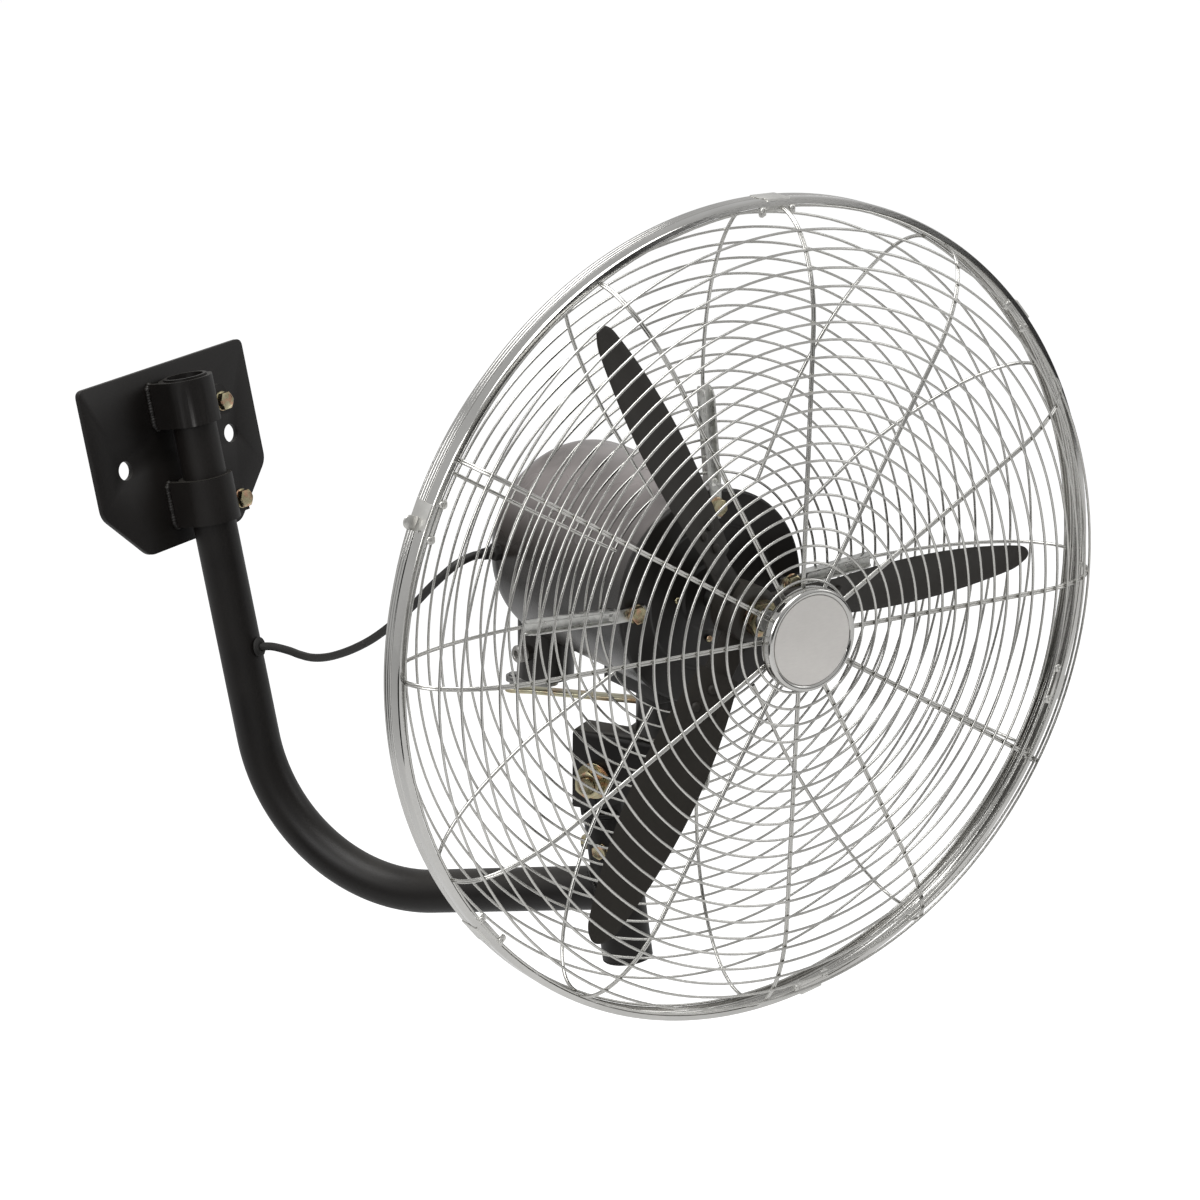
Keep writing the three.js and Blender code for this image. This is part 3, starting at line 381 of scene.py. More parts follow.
def cage_station_tree():
    """Height of a wire cage at a radius: a shallow cone that ends in a quarter ellipse at the rim."""
    tree, given, out = grouped("cage_station", "GeometryNodeTree", [
        ("Radius", "NodeSocketFloat", 0.0),
        ("Inner", "NodeSocketFloat", 0.0),
        ("Flat", "NodeSocketFloat", 0.0),
        ("Outer", "NodeSocketFloat", 0.0),
        ("Inner Station", "NodeSocketFloat", 0.0),
        ("Flat Station", "NodeSocketFloat", 0.0),
        ("Outer Station", "NodeSocketFloat", 0.0),
    ], [("Station", "NodeSocketFloat")])

    def share(first, last):
        above = calc(tree, "SUBTRACT", given["Radius"], given[first])
        return calc(tree, "DIVIDE", above, calc(tree, "SUBTRACT", given[last], given[first]), clamp=True)

    edge = share("Flat", "Outer")
    depth = calc(tree, "SQRT", calc(tree, "SUBTRACT", 1.0, calc(tree, "MULTIPLY", edge, edge)))
    span = calc(tree, "SUBTRACT", given["Flat Station"], given["Outer Station"])
    dome = calc(tree, "MULTIPLY_ADD", span, depth, given["Outer Station"])
    rise = calc(tree, "SUBTRACT", given["Inner Station"], given["Flat Station"])
    cone = calc(tree, "MULTIPLY", rise, calc(tree, "SUBTRACT", 1.0, share("Inner", "Flat")))
    tree.links.new(calc(tree, "ADD", dome, cone), out.inputs[0])
    return tree


def wire_cage_tree(station_tree):
    """Rings and spokes of one guard, about Z. A spoke is one wire or two side by side."""
    tree, given, out = grouped("wire_cage", "GeometryNodeTree", [
        ("Inner", "NodeSocketFloat", 50.0),
        ("Flat", "NodeSocketFloat", 200.0),
        ("Outer", "NodeSocketFloat", 370.0),
        ("Inner Station", "NodeSocketFloat", 0.0),
        ("Flat Station", "NodeSocketFloat", 0.0),
        ("Outer Station", "NodeSocketFloat", 0.0),
        ("Rings", "NodeSocketInt", 22),
        ("Ring Radius", "NodeSocketFloat", 1.2),
        ("Spokes", "NodeSocketInt", 12),
        ("First Spoke", "NodeSocketFloat", 0.0),
        ("Wires In Spoke", "NodeSocketInt", 2),
        ("Wire Spacing", "NodeSocketFloat", 3.0),
        ("Spoke Radius", "NodeSocketFloat", 1.5),
        ("Spoke Lift", "NodeSocketFloat", 0.0),
        ("Spoke Start", "NodeSocketFloat", 45.0),
        ("Material", "NodeSocketMaterial", None),
    ], [("Geometry", "NodeSocketGeometry")])
    shape = ("Inner", "Flat", "Outer", "Inner Station", "Flat Station", "Outer Station")

    def station(radius):
        values = {"Radius": radius, **{label: given[label] for label in shape}}
        return add(tree, "GeometryNodeGroup", values, node_tree=station_tree).outputs[0]

    def vector(x, y, z):
        return add(tree, "ShaderNodeCombineXYZ", {"X": x, "Y": y, "Z": z}).outputs[0]

    def wire(lines, radius, sides):
        section = add(tree, "GeometryNodeCurvePrimitiveCircle", {"Resolution": sides, "Radius": radius})
        laid = add(tree, "GeometryNodeRealizeInstances", {"Geometry": lines.outputs[0]})
        return add(tree, "GeometryNodeCurveToMesh", {
            "Curve": laid.outputs[0],
            "Profile Curve": section.outputs[0],
            "Fill Caps": True,
        }).outputs[0]

    index = add(tree, "GeometryNodeInputIndex").outputs[0]
    last_ring = calc(tree, "SUBTRACT", given["Rings"], 1.0)
    pitch = calc(tree, "DIVIDE", calc(tree, "SUBTRACT", given["Outer"], given["Inner"]), last_ring)
    radius = calc(tree, "MULTIPLY_ADD", index, pitch, given["Inner"])
    ring_seats = add(tree, "GeometryNodePoints", {
        "Count": given["Rings"],
        "Position": vector(0.0, 0.0, station(radius)),
    })
    circle = add(tree, "GeometryNodeCurvePrimitiveCircle", {"Resolution": 144, "Radius": 1.0})
    rings = add(tree, "GeometryNodeInstanceOnPoints", {
        "Points": ring_seats.outputs[0],
        "Instance": circle.outputs[0],
        "Scale": vector(radius, radius, 1.0),
    })

    wires = given["Wires In Spoke"]
    spoke = calc(tree, "FLOOR", calc(tree, "DIVIDE", calc(tree, "ADD", index, 0.5), wires))
    number = calc(tree, "SUBTRACT", index, calc(tree, "MULTIPLY", spoke, wires))
    middle = calc(tree, "MULTIPLY", calc(tree, "SUBTRACT", wires, 1.0), 0.5)
    aside = calc(tree, "MULTIPLY", calc(tree, "SUBTRACT", number, middle), given["Wire Spacing"])
    turns = calc(tree, "DIVIDE", 2 * math.pi, given["Spokes"])
    heading = calc(tree, "MULTIPLY_ADD", spoke, turns, given["First Spoke"])
    beside = vector(
        calc(tree, "MULTIPLY", calc(tree, "SINE", heading), calc(tree, "MULTIPLY", aside, -1.0)),
        calc(tree, "MULTIPLY", calc(tree, "COSINE", heading), aside),
        given["Spoke Lift"],
    )
    spoke_seats = add(tree, "GeometryNodePoints", {
        "Count": calc(tree, "MULTIPLY", given["Spokes"], wires),
        "Position": beside,
    })
    straight = add(tree, "GeometryNodeCurvePrimitiveLine", {"End": (1.0, 0.0, 0.0)})
    fine = add(tree, "GeometryNodeResampleCurve", {"Curve": straight.outputs[0], "Count": 48})
    factor = add(tree, "GeometryNodeSplineParameter").outputs["Factor"]
    reach = calc(tree, "SINE", calc(tree, "MULTIPLY", factor, math.pi / 2))
    span = calc(tree, "SUBTRACT", given["Outer"], given["Spoke Start"])
    out_at = calc(tree, "MULTIPLY_ADD", span, reach, given["Spoke Start"])
    bent = add(tree, "GeometryNodeSetPosition", {
        "Geometry": fine.outputs[0],
        "Position": vector(out_at, 0.0, station(out_at)),
    })
    spokes = add(tree, "GeometryNodeInstanceOnPoints", {
        "Points": spoke_seats.outputs[0],
        "Instance": bent.outputs[0],
        "Rotation": vector(0.0, 0.0, heading),
    })

    whole = add(tree, "GeometryNodeJoinGeometry")
    tree.links.new(wire(rings, given["Ring Radius"], 8), whole.inputs[0])
    tree.links.new(wire(spokes, given["Spoke Radius"], 10), whole.inputs[0])
    smooth = add(tree, "GeometryNodeSetShadeSmooth", {"Geometry": whole.outputs[0]})
    return painted_end(tree, smooth.outputs[0], given, out)


def around_tree():
    """Copies of a piece turned about Z in even steps."""
    tree, given, out = grouped("around", "GeometryNodeTree", [
        ("Geometry", "NodeSocketGeometry", None),
        ("Count", "NodeSocketInt", 4),
        ("First", "NodeSocketFloat", 0.0),
        ("Step", "NodeSocketFloat", 90.0),
        ("Material", "NodeSocketMaterial", None),
    ], [("Geometry", "NodeSocketGeometry")])
    index = add(tree, "GeometryNodeInputIndex").outputs[0]
    heading = calc(tree, "RADIANS", calc(tree, "MULTIPLY_ADD", index, given["Step"], given["First"]))
    seats = add(tree, "GeometryNodePoints", {"Count": given["Count"]})
    copies = add(tree, "GeometryNodeInstanceOnPoints", {
        "Points": seats.outputs[0],
        "Instance": given["Geometry"],
        "Rotation": add(tree, "ShaderNodeCombineXYZ", {"Z": heading}).outputs[0],
    })
    return painted_end(tree, copies.outputs[0], given, out)


def weld_tree():
    """A bead of overlapping ripples along the input's edges."""
    tree, given, out = grouped("weld_bead", "GeometryNodeTree", [
        ("Geometry", "NodeSocketGeometry", None),
        ("Bead Radius", "NodeSocketFloat", 2.0),
        ("Ripple", "NodeSocketFloat", 2.0),
        ("Seed", "NodeSocketInt", 1),
        ("Material", "NodeSocketMaterial", None),
    ], [("Geometry", "NodeSocketGeometry")])
    line = add(tree, "GeometryNodeMeshToCurve", {"Mesh": given["Geometry"]})
    seats = add(tree, "GeometryNodeResampleCurve", {
        "Curve": line.outputs[0],
        "Length": given["Ripple"],
    }, mode="LENGTH")
    drop = add(tree, "GeometryNodeMeshIcoSphere", {"Radius": given["Bead Radius"], "Subdivisions": 2})
    spread = {2: 0.85, 3: 1.12, "Seed": given["Seed"]}
    size = add(tree, "FunctionNodeRandomValue", spread, data_type="FLOAT")
    beads = add(tree, "GeometryNodeInstanceOnPoints", {
        "Points": seats.outputs[0],
        "Instance": drop.outputs[0],
        "Scale": size.outputs[1],
    })
    smooth = add(tree, "GeometryNodeSetShadeSmooth", {"Geometry": beads.outputs[0]})
    return painted_end(tree, smooth.outputs[0], given, out)


WIRE_CAGE = wire_cage_tree(cage_station_tree())
AROUND = around_tree()
WELD = weld_tree()


def ringed(name, bm, count, first, step, body, material, replaces=(), smooth=None):
    """Makes one piece of copies around the motor's axis, reshaded where an angle is given."""
    mesh = grown(loose_object(bm), AROUND, {
        "Count": count, "First": first, "Step": step, "Material": material,
    })
    mesh.transform(TO_METRES @ MOTOR)
    piece = settle(name, mesh, body, [material], replaces)
    if smooth:
        bm = bmesh.new()
        bm.from_mesh(piece.data)
        shade_by_angle(bm, smooth)
        bm.to_mesh(piece.data)
        bm.free()


# ---- finishes ------------------------------------------------------------------------
def tone(red, green, blue):
    """A colour as the eye reads it, out of 255."""
    def linear(value):
        share = value / 255
        return share / 12.92 if share <= 0.04045 else ((share + 0.055) / 1.055) ** 2.4
    return (linear(red), linear(green), linear(blue), 1.0)


def mottle_group():
    """Slow drifts and fine grain of a finish, both from 0 to 1, and a height for its bumps."""
    tree, given, out = grouped("mottle", "ShaderNodeTree", [
        ("Vector", "NodeSocketVector", None),
        ("Drift Scale", "NodeSocketFloat", 9.0),
        ("Grain Scale", "NodeSocketFloat", 600.0),
    ], [("Drift", "NodeSocketFloat"), ("Grain", "NodeSocketFloat"), ("Height", "NodeSocketFloat")])
    drift = add(tree, "ShaderNodeTexNoise", {
        "Vector": given["Vector"], "Scale": given["Drift Scale"], "Detail": 3.0, "Roughness": 0.6,
    })
    grain = add(tree, "ShaderNodeTexNoise", {
        "Vector": given["Vector"], "Scale": given["Grain Scale"], "Detail": 2.0, "Roughness": 0.5,
    })
    spread = add(tree, "ShaderNodeMapRange", {0: drift.outputs["Fac"], 1: 0.3, 2: 0.7})
    tree.links.new(spread.outputs[0], out.inputs["Drift"])
    tree.links.new(grain.outputs["Fac"], out.inputs["Grain"])
    height = calc(tree, "MULTIPLY_ADD", drift.outputs["Fac"], 0.4, grain.outputs["Fac"])
    tree.links.new(height, out.inputs["Height"])
    return tree


def dust_and_top_light_group():
    """Dust on what faces up, in soft patches; in a large amount, as on the motor enamel, painted top light.
    """
    tree, given, out = grouped("dust_and_top_light", "ShaderNodeTree", [
        ("Vector", "NodeSocketVector", None),
        ("Amount", "NodeSocketFloat", 0.3),
    ], [("Mask", "NodeSocketFloat")])
    facing = add(tree, "ShaderNodeSeparateXYZ", {0: add(tree, "ShaderNodeNewGeometry").outputs["Normal"]})
    upward = add(tree, "ShaderNodeMapRange", {0: facing.outputs["Z"], 1: 0.3, 2: 1.0}).outputs[0]
    patches = add(tree, "ShaderNodeTexNoise", {"Vector": given["Vector"], "Scale": 16.0, "Detail": 4.0})
    soft = add(tree, "ShaderNodeMapRange", {0: patches.outputs["Fac"], 1: 0.1, 2: 0.62}).outputs[0]
    mask = calc(tree, "MULTIPLY", calc(tree, "MULTIPLY", upward, soft), given["Amount"])
    tree.links.new(mask, out.inputs["Mask"])
    return tree


def streak_group():
    """Fine lines along the local X of the mapped coordinates, as rolling and drawing leave them."""
    tree, given, out = grouped("streaks", "ShaderNodeTree", [
        ("Vector", "NodeSocketVector", None),
        ("Scale", "NodeSocketFloat", 500.0),
    ], [("Lines", "NodeSocketFloat")])
    stretched = add(tree, "ShaderNodeMapping", {"Vector": given["Vector"], "Scale": (0.03, 1.0, 1.0)})
    lines = add(tree, "ShaderNodeTexNoise", {
        "Vector": stretched.outputs[0], "Scale": given["Scale"], "Detail": 3.0, "Roughness": 0.65,
    })
    tree.links.new(lines.outputs["Fac"], out.inputs["Lines"])
    return tree


MOTTLE = mottle_group()
DUST_AND_TOP_LIGHT = dust_and_top_light_group()
STREAKS = streak_group()


def bare_material(name):
    material = bpy.data.materials.new(name)
    material.use_nodes = True
    material.node_tree.nodes.clear()
    return material, material.node_tree


def material_start(name):
    """A new material with its shader and the object coordinates."""
    material, tree = bare_material(name)
    shader = add(tree, "ShaderNodeBsdfPrincipled")
    add(tree, "ShaderNodeOutputMaterial", {"Surface": shader.outputs[0]})
    place = add(tree, "ShaderNodeTexCoord").outputs["Object"]
    return material, tree, shader, place


def blend_colour(tree, share, first, second):
    """first where share is 0, second where it is 1."""
    return add(tree, "ShaderNodeMix", {0: share, 6: first, 7: second}, data_type="RGBA").outputs[2]


def set_bump(tree, shader, height, strength, depth):
    bump = add(tree, "ShaderNodeBump", {"Strength": strength, "Distance": depth, "Height": height})
    tree.links.new(bump.outputs[0], shader.inputs["Normal"])


def set_range(tree, socket, share, low, high):
    made = add(tree, "ShaderNodeMapRange", {0: share, 3: low, 4: high})
    tree.links.new(made.outputs[0], socket)


def paint(name, dark, light, rough, grain, bump, dust_and_top_light=0.0, dust_and_top_light_colour=(150, 146, 138), specular=0.5):
    """Baked paint or powder coat: orange peel, a slow drift in tone, dust on top (painted top light on the
    motor enamel).
    """
    material, tree, shader, place = material_start(name)
    mottle = add(tree, "ShaderNodeGroup", {0: place, 2: grain}, node_tree=MOTTLE).outputs
    base = blend_colour(tree, mottle["Drift"], tone(*dark), tone(*light))
    speck = calc(tree, "GREATER_THAN", mottle["Grain"], 0.66)
    bright = tone(*(min(c * 1.5, 255) for c in light))
    base = blend_colour(tree, calc(tree, "MULTIPLY", speck, 0.25), base, bright)
    if dust_and_top_light:
        # Pale on upward faces: dust, and on the motor enamel mostly painted top light, the lit top of the
        # can.
        dust_and_top_light_share = add(tree, "ShaderNodeGroup", {0: place, 1: dust_and_top_light}, node_tree=DUST_AND_TOP_LIGHT).outputs[0]
        base = blend_colour(tree, dust_and_top_light_share, base, tone(*dust_and_top_light_colour))
    tree.links.new(base, shader.inputs["Base Color"])
    set_range(tree, shader.inputs["Roughness"], mottle["Drift"], rough[0], rough[1])
    shader.inputs["Specular IOR Level"].default_value = specular
    set_bump(tree, shader, mottle["Height"], bump, 0.0004)
    return material


def plated(name, dark, light, rough, scale=26.0, third=None, lines=0.0, angle=0.0, bump=0.06):
    """Plated or bare metal: drifting colour, fine rolling lines, slightly uneven gloss."""
    material, tree, shader, place = material_start(name)
    mottle = add(tree, "ShaderNodeGroup", {0: place, 1: scale, 2: 1400.0}, node_tree=MOTTLE).outputs
    base = blend_colour(tree, mottle["Drift"], tone(*dark), tone(*light))
    if third:
        patches = add(tree, "ShaderNodeTexNoise", {"Vector": place, "Scale": scale * 2.3, "Detail": 2.0})
        share = add(tree, "ShaderNodeMapRange", {0: patches.outputs["Fac"], 1: 0.5, 2: 0.68}).outputs[0]
        base = blend_colour(tree, share, base, tone(*third))
    height = mottle["Height"]
    if lines:
        mapping = add(tree, "ShaderNodeMapping", {"Vector": place, "Rotation": (0, 0, angle)})
        drawn = add(tree, "ShaderNodeGroup", {0: mapping.outputs[0]}, node_tree=STREAKS).outputs[0]
        shade = add(tree, "ShaderNodeMapRange", {0: drawn, 1: 0.3, 2: 0.7, 3: 0.0, 4: lines}).outputs[0]
        base = blend_colour(tree, shade, base, tone(*(c * 0.6 for c in dark)))
        height = drawn
    tree.links.new(base, shader.inputs["Base Color"])
    shader.inputs["Metallic"].default_value = 1.0
    set_range(tree, shader.inputs["Roughness"], mottle["Drift"], rough[0], rough[1])
    set_bump(tree, shader, height, bump, 0.0002)
    return material


def galvanised(name):
    """Hot-dip zinc: flat crystals of slightly different grey."""
    material, tree, shader, place = material_start(name)
    crystals = add(tree, "ShaderNodeTexVoronoi", {"Vector": place, "Scale": 210.0})
    shade = add(tree, "ShaderNodeSeparateColor", {0: crystals.outputs["Color"]}).outputs[0]
    mottle = add(tree, "ShaderNodeGroup", {0: place, 1: 40.0, 2: 900.0}, node_tree=MOTTLE).outputs
    base = blend_colour(tree, shade, tone(186, 186, 183), tone(222, 222, 218))
    base = blend_colour(tree, calc(tree, "MULTIPLY", mottle["Drift"], 0.35), base, tone(150, 149, 144))
    tree.links.new(base, shader.inputs["Base Color"])
    shader.inputs["Metallic"].default_value = 1.0
    set_range(tree, shader.inputs["Roughness"], shade, 0.24, 0.38)
    set_bump(tree, shader, mottle["Height"], 0.12, 0.0003)
    return material


def laminated(name, light, dark, pitch, rough):
    """Stacked sheet or wound wire: fine bands across the motor's axis."""
    material, tree, shader, place = material_start(name)
    bearing = MOTOR.to_3x3().inverted().to_euler()
    along = add(tree, "ShaderNodeMapping", {"Vector": place, "Rotation": tuple(bearing)}).outputs[0]
    bands = add(tree, "ShaderNodeTexWave", {
        "Vector": along, "Scale": pitch, "Distortion": 0.4, "Detail": 1.0,
    }, wave_type="BANDS", bands_direction="Z")
    mottle = add(tree, "ShaderNodeGroup", {0: place, 1: 30.0}, node_tree=MOTTLE).outputs
    base = blend_colour(tree, bands.outputs["Fac"], tone(*dark), tone(*light))
    tree.links.new(base, shader.inputs["Base Color"])
    shader.inputs["Metallic"].default_value = 0.8
    set_range(tree, shader.inputs["Roughness"], mottle["Drift"], *rough)
    set_bump(tree, shader, bands.outputs["Fac"], 0.3, 0.0003)
    return material


BLACK_COAT = paint("black_powder_coat", (14, 12, 11), (21, 18, 16), (0.38, 0.52), 750.0, 0.16, dust_and_top_light=0.08,
                   specular=0.28)
BLADE_PAINT = paint("blade_paint", (36, 33, 28), (43, 39, 34), (0.5, 0.62), 1100.0, 0.10, dust_and_top_light=0.04,
                    specular=0.4)
# The motor enamel's large amount paints the top of the can lighter and leaves the underside dark: painted
# top light.
MOTOR_PAINT = paint("motor_enamel", (34, 31, 28), (45, 41, 38), (0.22, 0.32), 420.0, 0.08, dust_and_top_light=0.88,
                    dust_and_top_light_colour=(142, 135, 133), specular=0.6)
HOUSING_PAINT = paint("housing_enamel", (24, 22, 20), (33, 30, 27), (0.3, 0.42), 420.0, 0.14, dust_and_top_light=0.06,
                      specular=0.4)
RUBBER = paint("black_rubber", (24, 23, 22), (34, 33, 31), (0.62, 0.78), 900.0, 0.12, specular=0.35)
SHEATH = paint("lead_sheath", (26, 25, 24), (36, 35, 33), (0.42, 0.55), 700.0, 0.10, specular=0.4)
CAST_METAL = plated("cast_metal", (150, 148, 145), (182, 180, 176), (0.45, 0.6), scale=60.0, bump=0.5)
YELLOW_ZINC = plated("yellow_zinc", (150, 142, 108), (196, 188, 158), (0.2, 0.34), scale=75.0,
                     third=(188, 150, 124), bump=0.08)
LINK_ZINC = plated("link_zinc", (186, 180, 148), (222, 218, 194), (0.3, 0.45), scale=14.0,
                   third=(176, 138, 100), lines=0.2, angle=0.8)
GALVANISED = galvanised("galvanised")
CHROME = plated("bright_wire", (184, 183, 179), (208, 207, 203), (0.12, 0.24), scale=18.0, lines=0.08)
RIM_CHROME = plated("polished_band", (186, 185, 182), (212, 211, 208), (0.05, 0.14), scale=7.0, lines=0.08)
CLIP_PLATE = plated("stamped_plate", (204, 203, 199), (224, 223, 219), (0.3, 0.42), scale=30.0, lines=0.08)
MACHINED = plated("machined_steel", (132, 131, 129), (158, 157, 154), (0.26, 0.4), scale=80.0, lines=0.3)
BRONZE = plated("gear_bronze", (150, 118, 70), (182, 146, 92), (0.3, 0.45), scale=70.0, lines=0.15)
BADGE_FACE = plated("badge_metal", (226, 223, 219), (234, 231, 227), (0.42, 0.5), scale=20.0, lines=0.06)
CORE_STEEL = laminated("core_steel", (112, 108, 104), (70, 67, 64), 320.0, (0.45, 0.6))
COPPER = laminated("winding_copper", (176, 104, 62), (112, 58, 34), 260.0, (0.3, 0.45))


# ---- fasteners -----------------------------------------------------------------------
def hex_head(flats, height, washer_radius=0.0, washer=0.0, bore=0.0, steps=48):
    """A hexagon head or nut that sits on z = 0, with chamfered corners, an optional flange and bore."""
    inner = flats / 2

    def reach(i):
        return inner / math.cos((2 * math.pi * i / steps) % (math.pi / 3) - math.pi / 6)

    def ring(radius_at, height_at):
        return [
            bm.verts.new((
                radius_at(i) * math.cos(2 * math.pi * i / steps),
                radius_at(i) * math.sin(2 * math.pi * i / steps),
                height_at(i),
            ))
            for i in range(steps)
        ]

    bm = bmesh.new()
    top = washer + height
    rings = []
    if washer:
        rim = washer_radius - washer * 0.5
        for radius, level in ((washer_radius, 0), (washer_radius, washer * 0.6), (rim, washer)):
            rings.append(ring(lambda i, r=radius: r, lambda i, z=level: z))
        rings.append(ring(reach, lambda i: washer))
    else:
        rings.append(ring(lambda i: reach(i) * 0.97, lambda i: 0))
        rings.append(ring(reach, lambda i: (reach(i) - inner) * 0.5 + 0.2))
    rings.append(ring(reach, lambda i: top - 0.3 - (reach(i) - inner) * 0.55))
    rings.append(ring(lambda i: inner * 0.93, lambda i: top))
    if bore:
        rings.append(ring(lambda i: bore + 0.6, lambda i: top))
        rings.append(ring(lambda i: bore, lambda i: top - 0.6))
        rings.append(ring(lambda i: bore, lambda i: 0.5))
        rings.append(ring(lambda i: bore + 0.5, lambda i: 0))
        rings.append(rings[0])
    else:
        rings.append(ring(lambda i: inner * 0.72, lambda i: top - 0.35))
        rings.append(ring(lambda i: inner * 0.3, lambda i: top - 0.35))
    for a, b in zip(rings, rings[1:]):
        for i in range(steps):
            j = (i + 1) % steps
            bm.faces.new((a[i], a[j], b[j], b[i]))
    if not bore:
        bm.faces.new(rings[0])
        bm.faces.new(rings[-1])
    return bm


def threaded_end(radius, low, high, pitch=1.5):
    """A bolt's end with its thread as rings and a chamfered tip."""
    turns = max(2, int((high - low - 1) / pitch))
    points = [(0, low), (radius, low)]
    for i in range(turns):
        base = low + (high - low - 1) * i / turns
        points += [(radius, base), (radius - 0.55, base + pitch * 0.45), (radius, base + pitch * 0.9)]
    return lathe(points + [(radius, high - 1), (radius - 0.9, high), (0, high)], 32)


def cross_screw(radius, height):
    """A pan-head screw with a cross recess."""
    dome = lathe(eased([
        (0, 0), (radius, 0), (radius, height * 0.45), (radius * 0.75, height * 0.9), (0, height),
    ], 0.5), 32)
    arm = radius * 0.62
    slot = (-arm, arm), (-0.35, 0.35), (height * 0.55, height * 2)
    return carved(dome, block(*slot), moved(block(*slot), turn("Z", 90)))


def weld(name, points, frame_matrix, body, radius, ripple, seed, closed=False):
    """A bead along a line of points in a frame."""
    bm = bmesh.new()
    verts = [bm.verts.new(p) for p in points]
    for a, b in zip(verts, verts[1:] + (verts[:1] if closed else [])):
        bm.edges.new((a, b))
    line = loose_object(bm, name)
    mesh = grown(line, WELD, {
        "Bead Radius": radius, "Ripple": ripple, "Seed": seed, "Material": BLACK_COAT,
    })
    mesh.transform(TO_METRES @ frame_matrix)
    return settle(name, mesh, body, [BLACK_COAT], ())


# ---- wall plate and collars ----------------------------------------------------------
def wall_plate():
    corners = [(-116, 87.5), (116, 87.5), (116, -37.5), (66, -87.5), (-66, -87.5), (-116, -37.5)]
    outline = eased_loop(corners, 8, 8)
    plate = carved(
        prism(outline, 0, 6),
        *(moved(rod(9, -5, 11), shift(side * 75.5, 0, 0)) for side in (-1, 1)),
    )
    stand_in("wall_plate", softened(plate, 0.9), turn("X", 90), "wall_mount", "black_coat", BLACK_COAT)


def collar(name, bottom):
    strap = fused(
        rod(26.5, 0, 45, 96),
        block((-26.5, -21.5), (0, 27.7), (0, 45)),
        moved(prism(
            [(22, 0), (44, 0), *arc((35, 21), 9, 0, 90, 6), (22, 30)], -7.5, 7.5,
        ), turn("X", 90)),
    )
    strap = carved(
        strap,
        rod(21.5, -20, 65, 96),
        block((0, 70), (-2.5, 2.5), (-20, 65)),
        moved(rod(5.2, -20, 20, 32), shift(35, 0, 13) @ turn("X", 90)),
    )
    seat = shift(0, -ARM_AHEAD, bottom)
    stand_in(f"{name}_collar", softened(strap, 0.8), seat, "wall_mount", "black_coat", BLACK_COAT)
    leg = [(-24, 26.6, 1), (-27.3, 26.6, 4), (-27.3, 26.6, 41), (-24, 26.6, 44)]
    weld(f"{name}_collar_weld", leg, seat, "wall_mount", 3.0, 2.6, 3)
    inner_leg = [(-20.6, 26.2, 3), (-20.6, 26.2, 42)]
    weld(f"{name}_collar_weld_inside", inner_leg, seat, "wall_mount", 2.4, 2.2, 5)
    bolt = merged(
        hex_head(16, 6.4, 9.5, 2),
        rod(4.9, -27.6, 0.5, 32),
    )
    stand_in(f"{name}_clamp_bolt", bolt, seat @ shift(35, -7.8, 13) @ turn("X", 90), "wall_mount",
             "yellow_zinc", YELLOW_ZINC)
    nut = merged(
        lathe([(5.3, 0), (9.6, 0), (9.6, 1.6), (5.3, 1.6), (5.3, 0)], 40),
        moved(hex_head(16, 6.2, bore=5.2), shift(0, 0, 1.7)),
    )
    stand_in(f"{name}_clamp_nut", nut, seat @ shift(35, 7.8, 13) @ turn("X", -90), "wall_mount",
             "yellow_zinc", YELLOW_ZINC)


# ---- arm, post and lead --------------------------------------------------------------
def arm_line(first=75.0):
    """Down the wall, a quarter bend, out to the post."""
    bend = [
        (0, BEND_RADIUS * (math.cos(a) - 1), BEND_RADIUS * (1 - math.sin(a)) - ARM_DROP)
        for a in (math.pi / 2 * i / 40 for i in range(41))
    ]
    return [(0, 0, first), (0, 0, -100), *bend, (0, -300, -ARM_DROP), (0, -ARM_REACH, -ARM_DROP)]


def ring_section(radius, steps=64):
    return arc((0, 0), radius, 0, 360, steps)[:-1]


def arm_tube():
    outside = swept(arm_line(), ring_section(21.2))
    inside = swept(arm_line(95.0), ring_section(18.0))
    post_place = shift(0, -ARM_REACH, -ARM_DROP) @ turn("X", POST_LEAN)
    post_space = moved(rod(24.45, -71.5, 75, 64), post_place)
    lead_hole = moved(rod(7.3, 0, 41, 32), shift(0, 0, LEAD_HOLE) @ turn("X", 90))
    tube = carved(outside, inside, post_space, lead_hole)
    stand_in("arm_tube", tube, ARM, "arm", "black_coat", BLACK_COAT)
    saddle = []
    for i in range(64):
        angle = 2 * math.pi * i / 64
        x, z = 21.6 * math.sin(angle), 21.6 * math.cos(angle)
        saddle.append((x, -ARM_REACH + math.sqrt(24.6 ** 2 - x ** 2), -ARM_DROP + z))
    weld("arm_post_weld", saddle, ARM, "arm", 2.5, 2.1, 8, closed=True)


